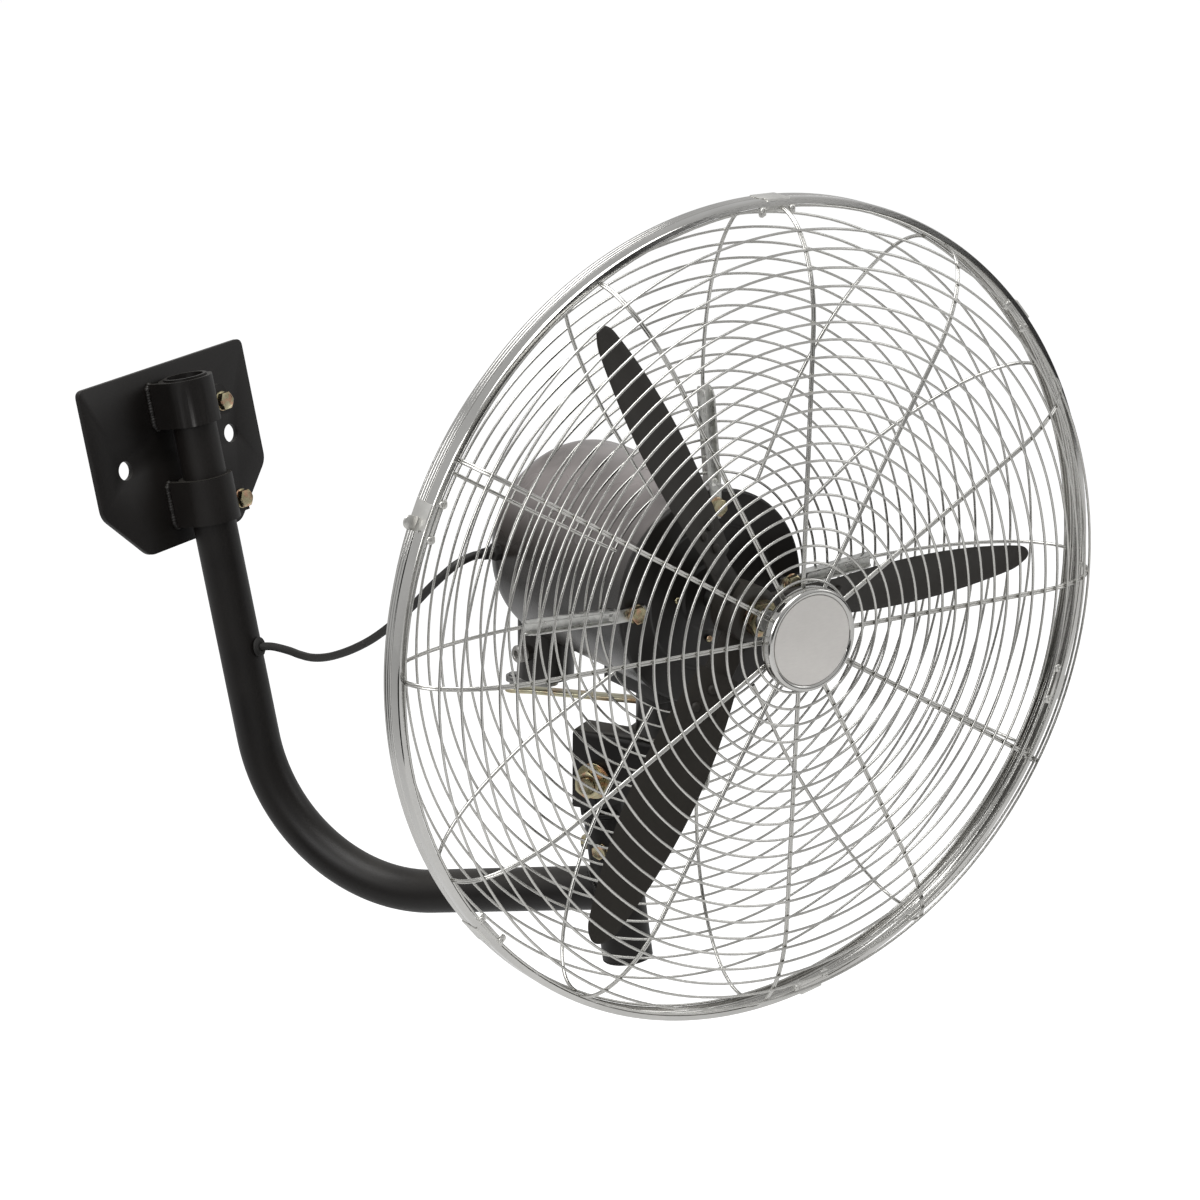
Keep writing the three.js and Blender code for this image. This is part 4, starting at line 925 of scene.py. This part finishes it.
def post():
    tube = lathe(eased([(21.15, -68.7), (24.15, -68.7), (24.15, 75), (21.15, 75)], 0.7) + [(21.15, -68.7)])
    stand_in("post_tube", tube, POST, "arm", "black_coat", BLACK_COAT)
    cap = lathe(eased([
        (0, -71.5), (22.6, -71.5), (24.15, -70), (24.15, -69), (20.85, -69), (20.85, -59.5), (0, -59.5),
    ], 1.2))
    stand_in("post_end_cap", cap, POST, "arm", "black_coat", BLACK_COAT)
    tongue = fused(
        block((-14.7, 14.7), (-22, 22), (76, TILT_ABOVE)),
        moved(rod(22, -14.7, 14.7, 96), shift(0, 0, TILT_ABOVE) @ turn("Y", 90)),
    )
    bore = moved(rod(8.2, -30, 30, 48), shift(0, 0, TILT_ABOVE) @ turn("Y", 90))
    tongue = softened(carved(tongue, bore), 1.2)
    shoulder = lathe(eased([
        (0, 22), (20.85, 22), (20.85, 75.3), (24.15, 75.3), (24.15, 80.3), (0, 80.3),
    ], 1.2))
    stand_in("tilt_knuckle", merged(tongue, shoulder), POST, "arm", "black_coat", BLACK_COAT)
    for side, heading in (("side", turn("Y", -90)), ("rear", turn("X", -90))):
        screw = merged(hex_head(13, 5.5, 6.9, 1), rod(3.9, -16, 0.5, 32))
        seat = POST @ shift(0, 0, 45) @ heading @ shift(0, 0, 24.45)
        stand_in(f"knuckle_screw_{side}", screw, seat, "arm", "yellow_zinc", YELLOW_ZINC)


LEAD_BENDS = [
    (-58, -296, -117), (-63, -283, -125), (-65, -267, -136), (-64, -249, -149), (-61, -229, -162),
    (-57, -208, -174), (-52, -186, -185), (-46, -163, -194), (-39, -140, -201), (-31, -117, -206),
    (-22, -95, -208), (-12, -75, -207), (-4, -57, -204),
]


def through(points, steps=10):
    """A centripetal curve through the points."""
    points = [Vector(p) for p in points]
    whole = [points[0] * 2 - points[1], *points, points[-1] * 2 - points[-2]]
    line = []
    for p0, p1, p2, p3 in zip(whole, whole[1:], whole[2:], whole[3:]):
        t1 = max((p1 - p0).length, 1e-4) ** 0.5
        t2 = t1 + max((p2 - p1).length, 1e-4) ** 0.5
        t3 = t2 + max((p3 - p2).length, 1e-4) ** 0.5
        for i in range(steps):
            t = t1 + (t2 - t1) * i / steps
            a1 = p0 * ((t1 - t) / t1) + p1 * (t / t1)
            a2 = p1 * ((t2 - t) / (t2 - t1)) + p2 * ((t - t1) / (t2 - t1))
            a3 = p2 * ((t3 - t) / (t3 - t2)) + p3 * ((t - t2) / (t3 - t2))
            b1 = a1 * ((t2 - t) / t2) + a2 * (t / t2)
            b2 = a2 * ((t3 - t) / (t3 - t1)) + a3 * ((t - t1) / (t3 - t1))
            line.append(b1 * ((t2 - t) / (t2 - t1)) + b2 * ((t - t1) / (t2 - t1)))
    return line + [points[-1]]


def supply_lead():
    """From the motor's gland to the arm's grommet, made in two halves, one by the head and one by the arm,
    that meet in the middle on the neck."""
    gland = [MOTOR @ Vector((x, GLAND_HEIGHT, GLAND_STATION)) for x in (-98 - 17.3, -125)]
    inside = [ARM @ Vector((0, y, LEAD_HOLE)) for y in (-35.2, -18)]
    line = through([*gland, *(ARM @ Vector(p) for p in LEAD_BENDS), *inside])
    lengths = [0.0]
    for a, b in zip(line, line[1:]):
        lengths.append(lengths[-1] + (b - a).length)
    middle = min(range(len(line)), key=lambda i: abs(lengths[i] - lengths[-1] / 2))
    halves = (
        ("supply_lead_head", line[: middle + 1], "neck", "head"),
        ("supply_lead_arm", line[middle:], "neck", "arm"),
    )
    for name, points, near, far in halves:
        lead = merged(swept(points, ring_section(4, 20)))
        lead.transform(TO_METRES)
        mesh = bpy.data.meshes.new(name)
        for face in lead.faces:
            face.smooth = True
        lead.to_mesh(mesh)
        lead.free()
        mesh.materials.append(SHEATH)
        piece = bpy.data.objects.new(name, mesh)
        bpy.context.scene.collection.objects.link(piece)
        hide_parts("supply_lead")
        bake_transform(piece)
    grommet = lathe(eased([
        (4.5, -3.2), (7, -3.2), (7, 0.3), (10, 0.3), (10, 2), (7, 4), (4.5, 4),
    ], 0.7) + [(4.5, -3.2)], 48)
    stand_in("lead_grommet", grommet, ARM @ shift(0, -21.2, LEAD_HOLE) @ turn("X", 90), "arm", "rubber",
             RUBBER)


# ---- neck: tilt bracket, its bolt and the link ---------------------------------------
def tilt_bracket():
    outline = [(-19, -30), *arc((-14, 41), 5, 180, 90, 8), *arc((14, 41), 5, 90, 0, 8), (19, -30),
               (15, -30), (15, 42), (-15, 42), (-15, -30)]
    channel = moved(prism(outline, 0, 108), shift(0, 23, 0) @ turn("X", 90))
    ear = fused(
        block((0, 57), (-40, -20), (42, BRACKET_ABOVE)),
        moved(rod(10, 42, BRACKET_ABOVE, 48), shift(57, -30, 0)),
    )
    wedge = moved(
        prism([(4, -30), (85, 12), (110, 12), (110, -55), (4, -55)], 0, 80),
        shift(40, 0, 0) @ turn("Z", -90) @ turn("X", 90),
    )
    bracket = carved(
        fused(channel, ear),
        wedge,
        moved(rod(8.2, -40, 40, 48), turn("Y", 90)),
        moved(rod(8.2, 0, 70, 48), shift(0, -60, 0)),
        moved(rod(4.3, 0, 70, 32), shift(57, -30, 0)),
    )
    stand_in("tilt_bracket", softened(bracket, 0.8), NECK, "neck", "black_coat", BLACK_COAT)


def tilt_bolt():
    for side, angle in (("right", 90), ("left", -90)):
        heading = NECK @ turn("Y", angle)
        washer = lathe(eased([(8.2, 0), (17.5, 0), (17.5, 3), (8.2, 3)], 0.5) + [(8.2, 0)], 64)
        stand_in(f"tilt_washer_{side}", washer, heading @ shift(0, 0, 19.3), "neck", "yellow_zinc",
                 YELLOW_ZINC)
    bolt = merged(hex_head(24, 9, 12.2, 1), rod(7.9, -48, 0.5, 48),
                  moved(threaded_end(7.9, 0, 13.3), shift(0, 0, -61.3)))
    bolt_seat = NECK @ turn("Y", 90) @ shift(0, 0, 22.6)
    stand_in("tilt_bolt", bolt, bolt_seat, "neck", "yellow_zinc", YELLOW_ZINC)
    nut = hex_head(24, 13, bore=8.2)
    stand_in("tilt_nut", nut, NECK @ turn("Y", -90) @ shift(0, 0, 22.6), "neck", "yellow_zinc", YELLOW_ZINC)


def link_bar():
    outline = eased_loop([
        (0, 9), *arc((0, 0), 9, 100, 260, 14), (0, -9), (16, -7), (126, -7),
        *arc((LINK_LENGTH, 0), 9, -100, 100, 14), (126, 7), (16, 7),
    ], 1.5, 2)
    bar = carved(prism(outline, 0, 4), rod(4.3, -5, 9, 32))
    ribs = block((18, 124), (-7, -5.6), (-1.6, 0.5))
    bar = softened(bar, 0.6)
    rivet = lathe(eased([(0, 3.9), (5.6, 3.9), (5.4, 5.2), (3.2, 6.2), (0, 6.4)], 0.8), 40)
    rivet = moved(rivet, shift(LINK_LENGTH, 0, -2.6))
    stand_in("link_bar", merged(bar, ribs, rivet), LINK, "link", "yellow_zinc", LINK_ZINC)
    head = merged(
        lathe(eased([
            (0, 40), (4, 40), (4, 46.3), (7, 46.3), (7, 57.2), (4, 57.2), (4, 61.8), (0, 61.8),
        ], 0.4), 40),
        lathe(eased([(0, 61.8), (7, 61.8), (7, 64), (5, 65.8), (0, 65.8)], 1.0), 40),
    )
    stand_in("link_pivot_screw", head, PIVOT, "neck", "yellow_zinc", YELLOW_ZINC)


# ---- motor ---------------------------------------------------------------------------
def motor():
    can = lathe([
        (0, -298), *arc((62, -262), 36, -90, 0, 20), (98, -63), (97.2, -62.2), (97.2, -60.3), (78, -60.3),
        (78, -72.3), (95, -72.3), *arc((62, -262), 33, 0, -90, 12), (0, -295),
    ], 128)
    stand_in("motor_can", can, MOTOR, "head", "motor_paint", MOTOR_PAINT)
    shield = lathe(eased([
        (10.5, -54), (30, -54), (33, -55.6), (66, -55.6), (69, -54), (98, -54), (100, -56), (100, -60),
        (28, -60), (28, -74), (20.3, -74), (20.3, -62), (10.5, -62),
    ], 0.8) + [(10.5, -54)], 128)
    stand_in("front_shield", shield, MOTOR, "head", "motor_paint", HOUSING_PAINT)
    screw = moved(cross_screw(3.2, 2.2), shift(39, 0, -54))
    ringed("shield_screws", screw, 4, 85.0, 90.0, "head", YELLOW_ZINC)
    rib = moved(softened(block((30, 74), (-1.6, 1.6), (-1.2, 1.0)), 0.5), shift(0, 0, -298.2))
    ringed("can_ribs", rib, 16, 11.25, 22.5, "head", MOTOR_PAINT)


def motor_underside():
    """The pan lug's pad and boss, the gear housing with its cap, and the lead's gland."""
    upright = turn("X", -90)
    bottom = -AXIS_ABOVE + BRACKET_ABOVE + FIT + SPINDLE_FLANGE + FIT + THRUST_WASHER + FIT
    pan_axis = shift(0, 0, -PAN_BEHIND) @ upright
    lug = fused(
        moved(rod(24, bottom, -60, 64), pan_axis),
        block((-35, 35), (-106, -60), (-177, -87)),
    )
    spindle_space = moved(rod(8.4, bottom - 20, bottom + 46, 48), pan_axis)
    lug = carved(lug, rod(98.3, -330, -40, 128), spindle_space)
    stand_in("pan_lug", softened(lug, 1.6, 40, 3), MOTOR, "head", "motor_paint", HOUSING_PAINT)
    housing = fused(
        moved(rod(27, -128, -60, 72), GEAR_AXIS @ upright),
        moved(rod(8.5, 0, 29, 40), shift(-39, -99, -262) @ turn("Y", -90)),
    )
    can_space = lathe([(0, -298.3), *arc((62, -262), 36.3, -90, 0, 16), (98.3, -40), (0, -40)], 128)
    housing = carved(housing, can_space, moved(rod(6.5, -150, 0, 32), GEAR_AXIS @ upright))
    stand_in("gear_housing", softened(housing, 1.4, 40, 3), MOTOR, "head", "motor_paint", HOUSING_PAINT)
    cap = lathe(eased([
        (0, 68.3), (8.5, 68.3), (8.5, 76.4), (7, 78), (4.4, 78), (4, 77.4), (4, 72.6), (0, 72.6),
    ], 0.5), 48)
    stand_in("gearbox_cap", cap, MOTOR @ shift(0, -99, -262) @ turn("Y", -90), "head", "cast_metal",
             CAST_METAL)
    relief = [(7.5, 103), (6.6, 103.6)]
    for i in range(5):
        level = 104.2 + i * 2.1
        radius = 6.2 - i * 0.18
        groove = radius - 0.9
        relief += [(radius, level), (radius, level + 1.2), (groove, level + 1.4), (groove, level + 1.9)]
    gland = merged(
        lathe([(0, 94), (7.5, 94), *relief, (4.6, 115), (0, 115)], 40),
        moved(hex_head(14.8, 5.2), shift(0, 0, 98.4)),
    )
    stand_in("lead_gland", gland, MOTOR @ shift(0, GLAND_HEIGHT, GLAND_STATION) @ turn("Y", -90), "head",
             "rubber", RUBBER)


def guard_arms():
    """Four pressed channels from the motor's shield to the rear guard, open to the front."""
    back, rise, web, flange, half = -53.7, 13, 2.5, 11.5, 6
    wall, recess = 1.9, 5.6

    def front(r):
        return back + web - rise * (r - 104) / 89

    outline = [
        (74, back), (74, back + web), (104, front(104)), (184, front(184)), (190.5, front(190.5) - 2.2),
        (193, front(193) - 7), (193, front(193) - flange + 2), (190, front(190) - flange),
        (108, front(108) - flange), (104, front(104) - flange + 4), (104, back),
    ]
    open_front = [(105.5, back + 9), (105.5, front(105.5)), (110.5, front(110.5) - recess),
                  (200, front(200) - recess), (200, back + 9)]
    open_back = [(103, -95), (103, back), (104.5, back), (109.5, front(109.5) - recess - 2),
                 (200, front(200) - recess - 2), (200, -95)]
    channel = carved(
        moved(prism(outline, -half, half), turn("X", 90)),
        moved(prism(open_front, wall - half, half - wall), turn("X", 90)),
        moved(prism(open_back, wall - half, half - wall), turn("X", 90)),
        moved(rod(4.2, back - 20, back + 20, 32), shift(BOLT_CIRCLE, 0, 0)),
    )
    ringed("guard_arms_visual", softened(channel, 0.5), 4, 0.0, 90.0, "head", GALVANISED,
           [f"guard_arm_{i}" for i in (1, 2, 3, 4)], 32)
    head = merged(hex_head(15, 5.5, 8.6, 1.5), rod(3.9, -18, 0.5, 32))
    head = moved(head, shift(BOLT_CIRCLE, 0, -50.9) @ turn("Z", 11))
    ringed("guard_bolts_visual", head, 4, 0.0, 90.0, "head", YELLOW_ZINC,
           [f"guard_bolt_{i}" for i in (1, 2, 3, 4)], 32)


# ---- rotor ---------------------------------------------------------------------------
BLADE_TURNS = (120, 0, -120)


def blade():
    """A narrow twisted blade with a rounded tip, along X."""
    rows, columns = 56, 10
    tip = 325.0
    bm = bmesh.new()
    skins = ([], [])
    for i in range(rows + 1):
        t = i / rows
        radius = 60 + (tip - 60) * (1 - (1 - t) ** 1.6)
        share = (radius - 192.5) / 132.5
        chord = 60 - 8 * share - 31 * share * share
        rounding = max(0.0, (radius - (tip - 17)) / 17)
        chord = max(chord * math.sqrt(max(1 - rounding ** 2.2, 0.0)), 0.4)
        pitch = math.radians(25.5 - 3.7 * share)
        for skin, side in zip(skins, (-1, 1)):
            row = []
            for k in range(columns + 1):
                across = 2 * k / columns - 1
                thick = 1.25 * (1 - abs(across) ** 6) * (0.35 + 0.65 * min(chord / 12, 1)) * side
                camber = 2.2 * (1 - across * across) * (chord / 60)
                x, z = across * chord / 2, thick - camber + 1.2 * chord / 60
                row.append(bm.verts.new((
                    radius,
                    x * math.cos(pitch) - z * math.sin(pitch),
                    x * math.sin(pitch) + z * math.cos(pitch),
                )))
            skin.append(row)
    for skin in skins:
        for a, b in zip(skin, skin[1:]):
            for k in range(columns):
                bm.faces.new((a[k], a[k + 1], b[k + 1], b[k]))
    low, high = skins
    for a, b in zip(range(rows), range(1, rows + 1)):
        for k in (0, columns):
            bm.faces.new((low[a][k], low[b][k], high[b][k], high[a][k]))
    for row in (0, rows):
        for k in range(columns):
            bm.faces.new((low[row][k], low[row][k + 1], high[row][k + 1], high[row][k]))
    bmesh.ops.remove_doubles(bm, verts=bm.verts, dist=1e-3)
    return bm


def rotor():
    for number, angle in enumerate(BLADE_TURNS, 1):
        stand_in(f"blade_{number}", blade(), MOTOR @ turn("Z", angle), "rotor", "blade_paint", BLADE_PAINT)
    strap = prism([(12, -13), (108, -13), *arc((108, 0), 13, -90, 90, 12), (12, 13)], -2.5, 2.5)
    strap = moved(softened(strap, 0.7), shift(0, 0, -4.6))
    strap = moved(strap, turn("X", HUB_PITCH))
    ringed("hub_arms", strap, 3, 120.0, -120.0, "rotor", BLADE_PAINT, smooth=35)
    boss = lathe(eased([
        (10.3, -26), (22, -26), (26, -22), (26, 8), (20, 14), (10.3, 14),
    ], 2.0) + [(10.3, -26)], 80)
    stand_in("fan_hub", boss, MOTOR, "rotor", "blade_paint", BLADE_PAINT)
    rivet = eased([(0, 1.0), (4.6, 1.0), (4.4, 2.6), (2.4, 3.9), (0, 4.1)], 0.6)
    rivets = merged(*(
        moved(lathe(rivet, 32), turn("X", HUB_PITCH) @ shift(out, aside, 0))
        for out, aside in ((76, 0), (96, 7), (96, -7))
    ))
    ringed("blade_rivets", rivets, 3, 120.0, -120.0, "rotor", BLADE_PAINT)
    nut = hex_head(30, 12, bore=10.3)
    stand_in("hub_nut", nut, MOTOR @ shift(0, 0, 14.3), "rotor", "yellow_zinc", YELLOW_ZINC)
    shaft = merged(
        lathe(eased([(0, -289), (9, -289), (10, -288), (10, 12), (0, 12)], 0.4), 64),
        moved(threaded_end(10, 0, 20.0), shift(0, 0, 12)),
    )
    stand_in("motor_shaft", shaft, MOTOR, "rotor", "machined_steel", MACHINED)


# ---- guards --------------------------------------------------------------------------
def wire_guards():
    shared = {"Outer": 370.2, "Spokes": 12, "Ring Radius": 1.2, "Material": CHROME}
    rear = grown(loose_object(bmesh.new(), "rear"), WIRE_CAGE, {
        **shared, "Inner": 113.0, "Flat": 200.0, "Inner Station": -68.6, "Flat Station": -77.0,
        "Outer Station": 0.3, "Rings": 18, "First Spoke": 0.0, "Wires In Spoke": 1,
        "Spoke Radius": 1.7, "Spoke Lift": 2.4, "Spoke Start": 113.0,
    })
    rear.transform(TO_METRES @ MOTOR)
    settle("rear_guard_visual", rear, "head", [CHROME], ["rear_guard"])
    front = grown(loose_object(bmesh.new(), "front"), WIRE_CAGE, {
        **shared, "Inner": 51.2, "Flat": 270.0, "Inner Station": 80.8, "Flat Station": 79.2,
        "Outer Station": 22.3, "Rings": 22, "First Spoke": math.radians(-1.5), "Wires In Spoke": 2,
        "Wire Spacing": 2.1, "Spoke Radius": 1.2, "Spoke Lift": -2.4, "Spoke Start": 38.0,
    })
    front.transform(TO_METRES @ MOTOR)
    settle("front_guard_visual", front, "head", [CHROME], ["front_guard"])


CLIP_TURNS = (89, 40.8, -20, -80, -141, 157)
TAB_CLIP = 5


def rim_clip(with_tab):
    """A plate folded over the band with a screw in a lug at each end. One of them has a lifting tab."""
    strip = [
        (374.8, -0.4), (378, -0.4), (378, 23.2), (366.5, 23.2),
        (366.5, 22.2), (377, 22.2), (377, 0.6), (374.8, 0.6),
    ]
    plate = moved(prism(strip, -13, 13), turn("X", 90))
    plate = carved(plate, block((374, 380), (10.5, 14), (17, 24)))
    parts = [softened(plate, 0.25)]
    for side in (-1, 1):
        lug = prism([(364, -3.6), (374, -3.6), (374, 3.6), *arc((366, 0), 3.6, 90, 180, 6)], 21.8, 23.2)
        parts.append(softened(moved(lug, shift(0, 15.5 * side, 0)), 0.25))
        parts.append(moved(cross_screw(2.9, 1.8), shift(368.5, 15.5 * side, 23.1)))
    if with_tab:
        edge = [(377.2, -6), (382, -6), *arc((384, 0), 6, -90, 90, 10), (382, 6), (377.2, 6)]
        tab = prism(edge, 9.4, 10.8)
        parts.append(softened(moved(tab, shift(0, 7, 0)), 0.25))
    return merged(*parts)


def rim():
    rolls = []
    for low, width, depth in ((-0.7, 3.6, 0.9), (2.9, 3.6, 0.9), (6.5, 3.6, 0.9), (10.1, 13.2, 1.2)):
        steps = 16 if width > 4 else 10
        for i in range(steps):
            across = 2 * i / steps - 1
            bulge = 0.8 * (1 - across ** 6) + 0.2 * (1 - across ** 2)
            rolls.append((377.4 - depth + depth * bulge, low + width * i / steps))
    rolls.append((376.2, 23.3))
    inside = [(r - 2.2, z) for r, z in reversed(rolls) if 1.3 < z < 21.3]
    band = lathe([
        (372, -0.7), *rolls, (372, 23.3), (371.6, 22.3), (372, 21.3),
        *inside, (372, 1.3), (371.6, 0.3), (372, -0.7),
    ], 240)
    stand_in("rim_band", band, MOTOR, "head", "chrome_wire", RIM_CHROME)
    clips = merged(*(
        moved(rim_clip(i == TAB_CLIP), turn("Z", heading)) for i, heading in enumerate(CLIP_TURNS)
    ))
    finished("rim_clips", clips, MOTOR, "head", "chrome_wire", CLIP_PLATE, smooth=32)


def badge():
    """A cup on the inner ring: a polished shell with a rolled edge, and a brushed face set in it."""
    shell = lathe(eased([
        (0, 82.2), (45, 82.2), (47, 84.2), (47, 93.8), (45.8, 95.7), (43.8, 96.2), (42, 95.7), (41, 94.4),
    ], 0.7) + [(0, 94.4)], 128)
    face = lathe([(0, 94.5), (40.4, 94.5), (40.7, 94.8), (40.4, 95.1), (20, 95.2), (0, 95.2)], 128)
    finished("badge_shell", shell, MOTOR, "head", "badge_metal", RIM_CHROME, replaces=["badge"])
    finished("badge_face", face, MOTOR, "head", "badge_metal", BADGE_FACE, replaces=["badge"])


# ---- drive and the inside of the motor -----------------------------------------------
def crank():
    outline = eased_loop([
        (0, 12), *arc((0, 0), 12, 100, 260, 14), (0, -12),
        (CRANK_THROW, -8), *arc((CRANK_THROW, 0), 8, -80, 80, 12), (CRANK_THROW, 8),
    ], 1.0, 2)
    arm = softened(carved(prism(outline, 0, 6), rod(6.3, -9, 15, 40)), 0.6)
    pin = lathe(eased([(0, -5.7), (4.5, -5.7), (4.5, 6.4), (5.6, 6.4), (5.2, 7.8), (0, 7.8)], 0.5), 32)
    pin = moved(pin, shift(CRANK_THROW, 0, 0))
    stand_in("crank_arm", merged(arm, pin), CRANK, "crank", "machined_steel", MACHINED)


def paint_kept_nodes():
    """The CAD bodies that stay as they are, mostly inside the motor, get their finishes."""
    finishes = {
        "rear_bearing_plate": CAST_METAL, "front_bearing": MACHINED, "rear_bearing": MACHINED,
        "stator_core": CORE_STEEL, "rotor_core": CORE_STEEL,
        "winding_front": COPPER, "winding_rear": COPPER,
        "worm": MACHINED, "worm_wheel": BRONZE, "output_shaft": MACHINED,
        "pan_spindle": MACHINED, "spindle_nut": YELLOW_ZINC, "thrust_washer": BRONZE,
    }
    for node, material in finishes.items():
        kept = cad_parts[node]
        kept.data.materials.clear()
        kept.data.materials.append(material)


# ---- stage ---------------------------------------------------------------------------
FLOOR_LEVEL = -0.95
FLOOR_REACH = 80
FLOOR_SEEN = 0.9
FLOOR_MIRRORED = 0.42
SKY_LIGHT = 0.25
SKY_MIRRORED = 0.62


def light(name, place, aim, size, power, spread=180):
    lamp = bpy.data.lights.new(name, "AREA")
    lamp.shape = "RECTANGLE"
    lamp.size, lamp.size_y = size
    lamp.energy = power
    lamp.spread = math.radians(spread)
    holder = bpy.data.objects.new(name, lamp)
    holder.location = place
    holder.rotation_euler = (Vector(aim) - Vector(place)).to_track_quat("-Z", "Y").to_euler()
    bpy.context.scene.collection.objects.link(holder)


def level_sheet(name, half_x, half_y, height=0):
    """A flat rectangle about the origin."""
    corners = [(x * half_x, y * half_y, height) for x, y in ((-1, -1), (1, -1), (1, 1), (-1, 1))]
    mesh = bpy.data.meshes.new(name)
    mesh.from_pydata(corners, [], [(0, 1, 2, 3)])
    sheet = bpy.data.objects.new(name, mesh)
    bpy.context.scene.collection.objects.link(sheet)
    return sheet


def card(name, place, aim, size, level):
    """A flat that only reflections see, to give bright metal its dark and grey bands."""
    flat = level_sheet(name, size[0] / 2, size[1] / 2)
    flat.matrix_world = Matrix.Translation(place) @ (
        (Vector(aim) - Vector(place)).to_track_quat("-Z", "Y").to_matrix().to_4x4()
    )
    material, tree = bare_material(name)
    glow = add(tree, "ShaderNodeEmission", {"Color": (level, level, level, 1)})
    add(tree, "ShaderNodeOutputMaterial", {"Surface": glow.outputs[0]})
    flat.data.materials.append(material)
    flat.visible_camera = False
    flat.visible_diffuse = False
    flat.visible_transmission = False
    flat.visible_shadow = False


def stage():
    world = bpy.data.worlds.new("studio")
    bpy.context.scene.world = world
    world.use_nodes = True
    tree = world.node_tree
    tree.nodes.clear()
    path = add(tree, "ShaderNodeLightPath").outputs
    seen = calc(tree, "MAXIMUM", path["Is Camera Ray"], path["Is Transmission Ray"])
    mirrored = calc(tree, "MULTIPLY", path["Is Glossy Ray"], SKY_MIRRORED)
    strength = calc(tree, "MAXIMUM", calc(tree, "MAXIMUM", mirrored, SKY_LIGHT), seen)
    back = add(tree, "ShaderNodeBackground", {"Color": (1, 1, 1, 1), "Strength": strength})
    add(tree, "ShaderNodeOutputWorld", {"Surface": back.outputs[0]})

    floor = level_sheet("floor", FLOOR_REACH, FLOOR_REACH, FLOOR_LEVEL)
    material, tree = bare_material("pale_floor")
    path = add(tree, "ShaderNodeLightPath").outputs
    diffuse = add(tree, "ShaderNodeBsdfDiffuse", {"Color": (0.5, 0.5, 0.5, 1)})
    mirrored = calc(tree, "MULTIPLY", path["Is Glossy Ray"], FLOOR_MIRRORED)
    seen = calc(tree, "MULTIPLY", path["Is Camera Ray"], FLOOR_SEEN)
    glow = add(tree, "ShaderNodeEmission", {"Strength": calc(tree, "MAXIMUM", mirrored, seen)})
    both = add(tree, "ShaderNodeAddShader", {0: diffuse.outputs[0], 1: glow.outputs[0]})
    add(tree, "ShaderNodeOutputMaterial", {"Surface": both.outputs[0]})
    floor.data.materials.append(material)

    card("dark_card_front", (-2.6, -2.9, 0.0), (0.0, -0.6, -0.1), (3.6, 1.5), 0.02)
    card("grey_card_right", (2.6, -1.9, 0.2), (0.1, -0.6, -0.2), (0.9, 3.0), 0.4)
    card("dark_card_low", (0.2, -2.4, -0.85), (0.1, -0.6, -0.2), (3.4, 0.5), 0.04)
    card("dark_card_left", (-1.7, -0.3, -0.9), (0.0, -0.6, -0.1), (1.6, 1.2), 0.04)

    middle = (0.03, -0.5, -0.15)
    light("overhead", (-0.5, -0.7, 2.2), middle, (2.2, 1.6), 58)
    light("key_left", (-2.9, -0.9, 1.3), middle, (1.2, 1.6), 34)
    light("fill_right", (2.4, -2.8, 1.0), middle, (1.6, 1.6), 16)
    bpy.context.scene.view_settings.view_transform = "Standard"


wall_plate()
collar("upper", 28)
collar("lower", -70)
arm_tube()
post()
supply_lead()
tilt_bracket()
tilt_bolt()
link_bar()
motor()
motor_underside()
guard_arms()
rotor()
wire_guards()
rim()
badge()
crank()
paint_kept_nodes()
stage()
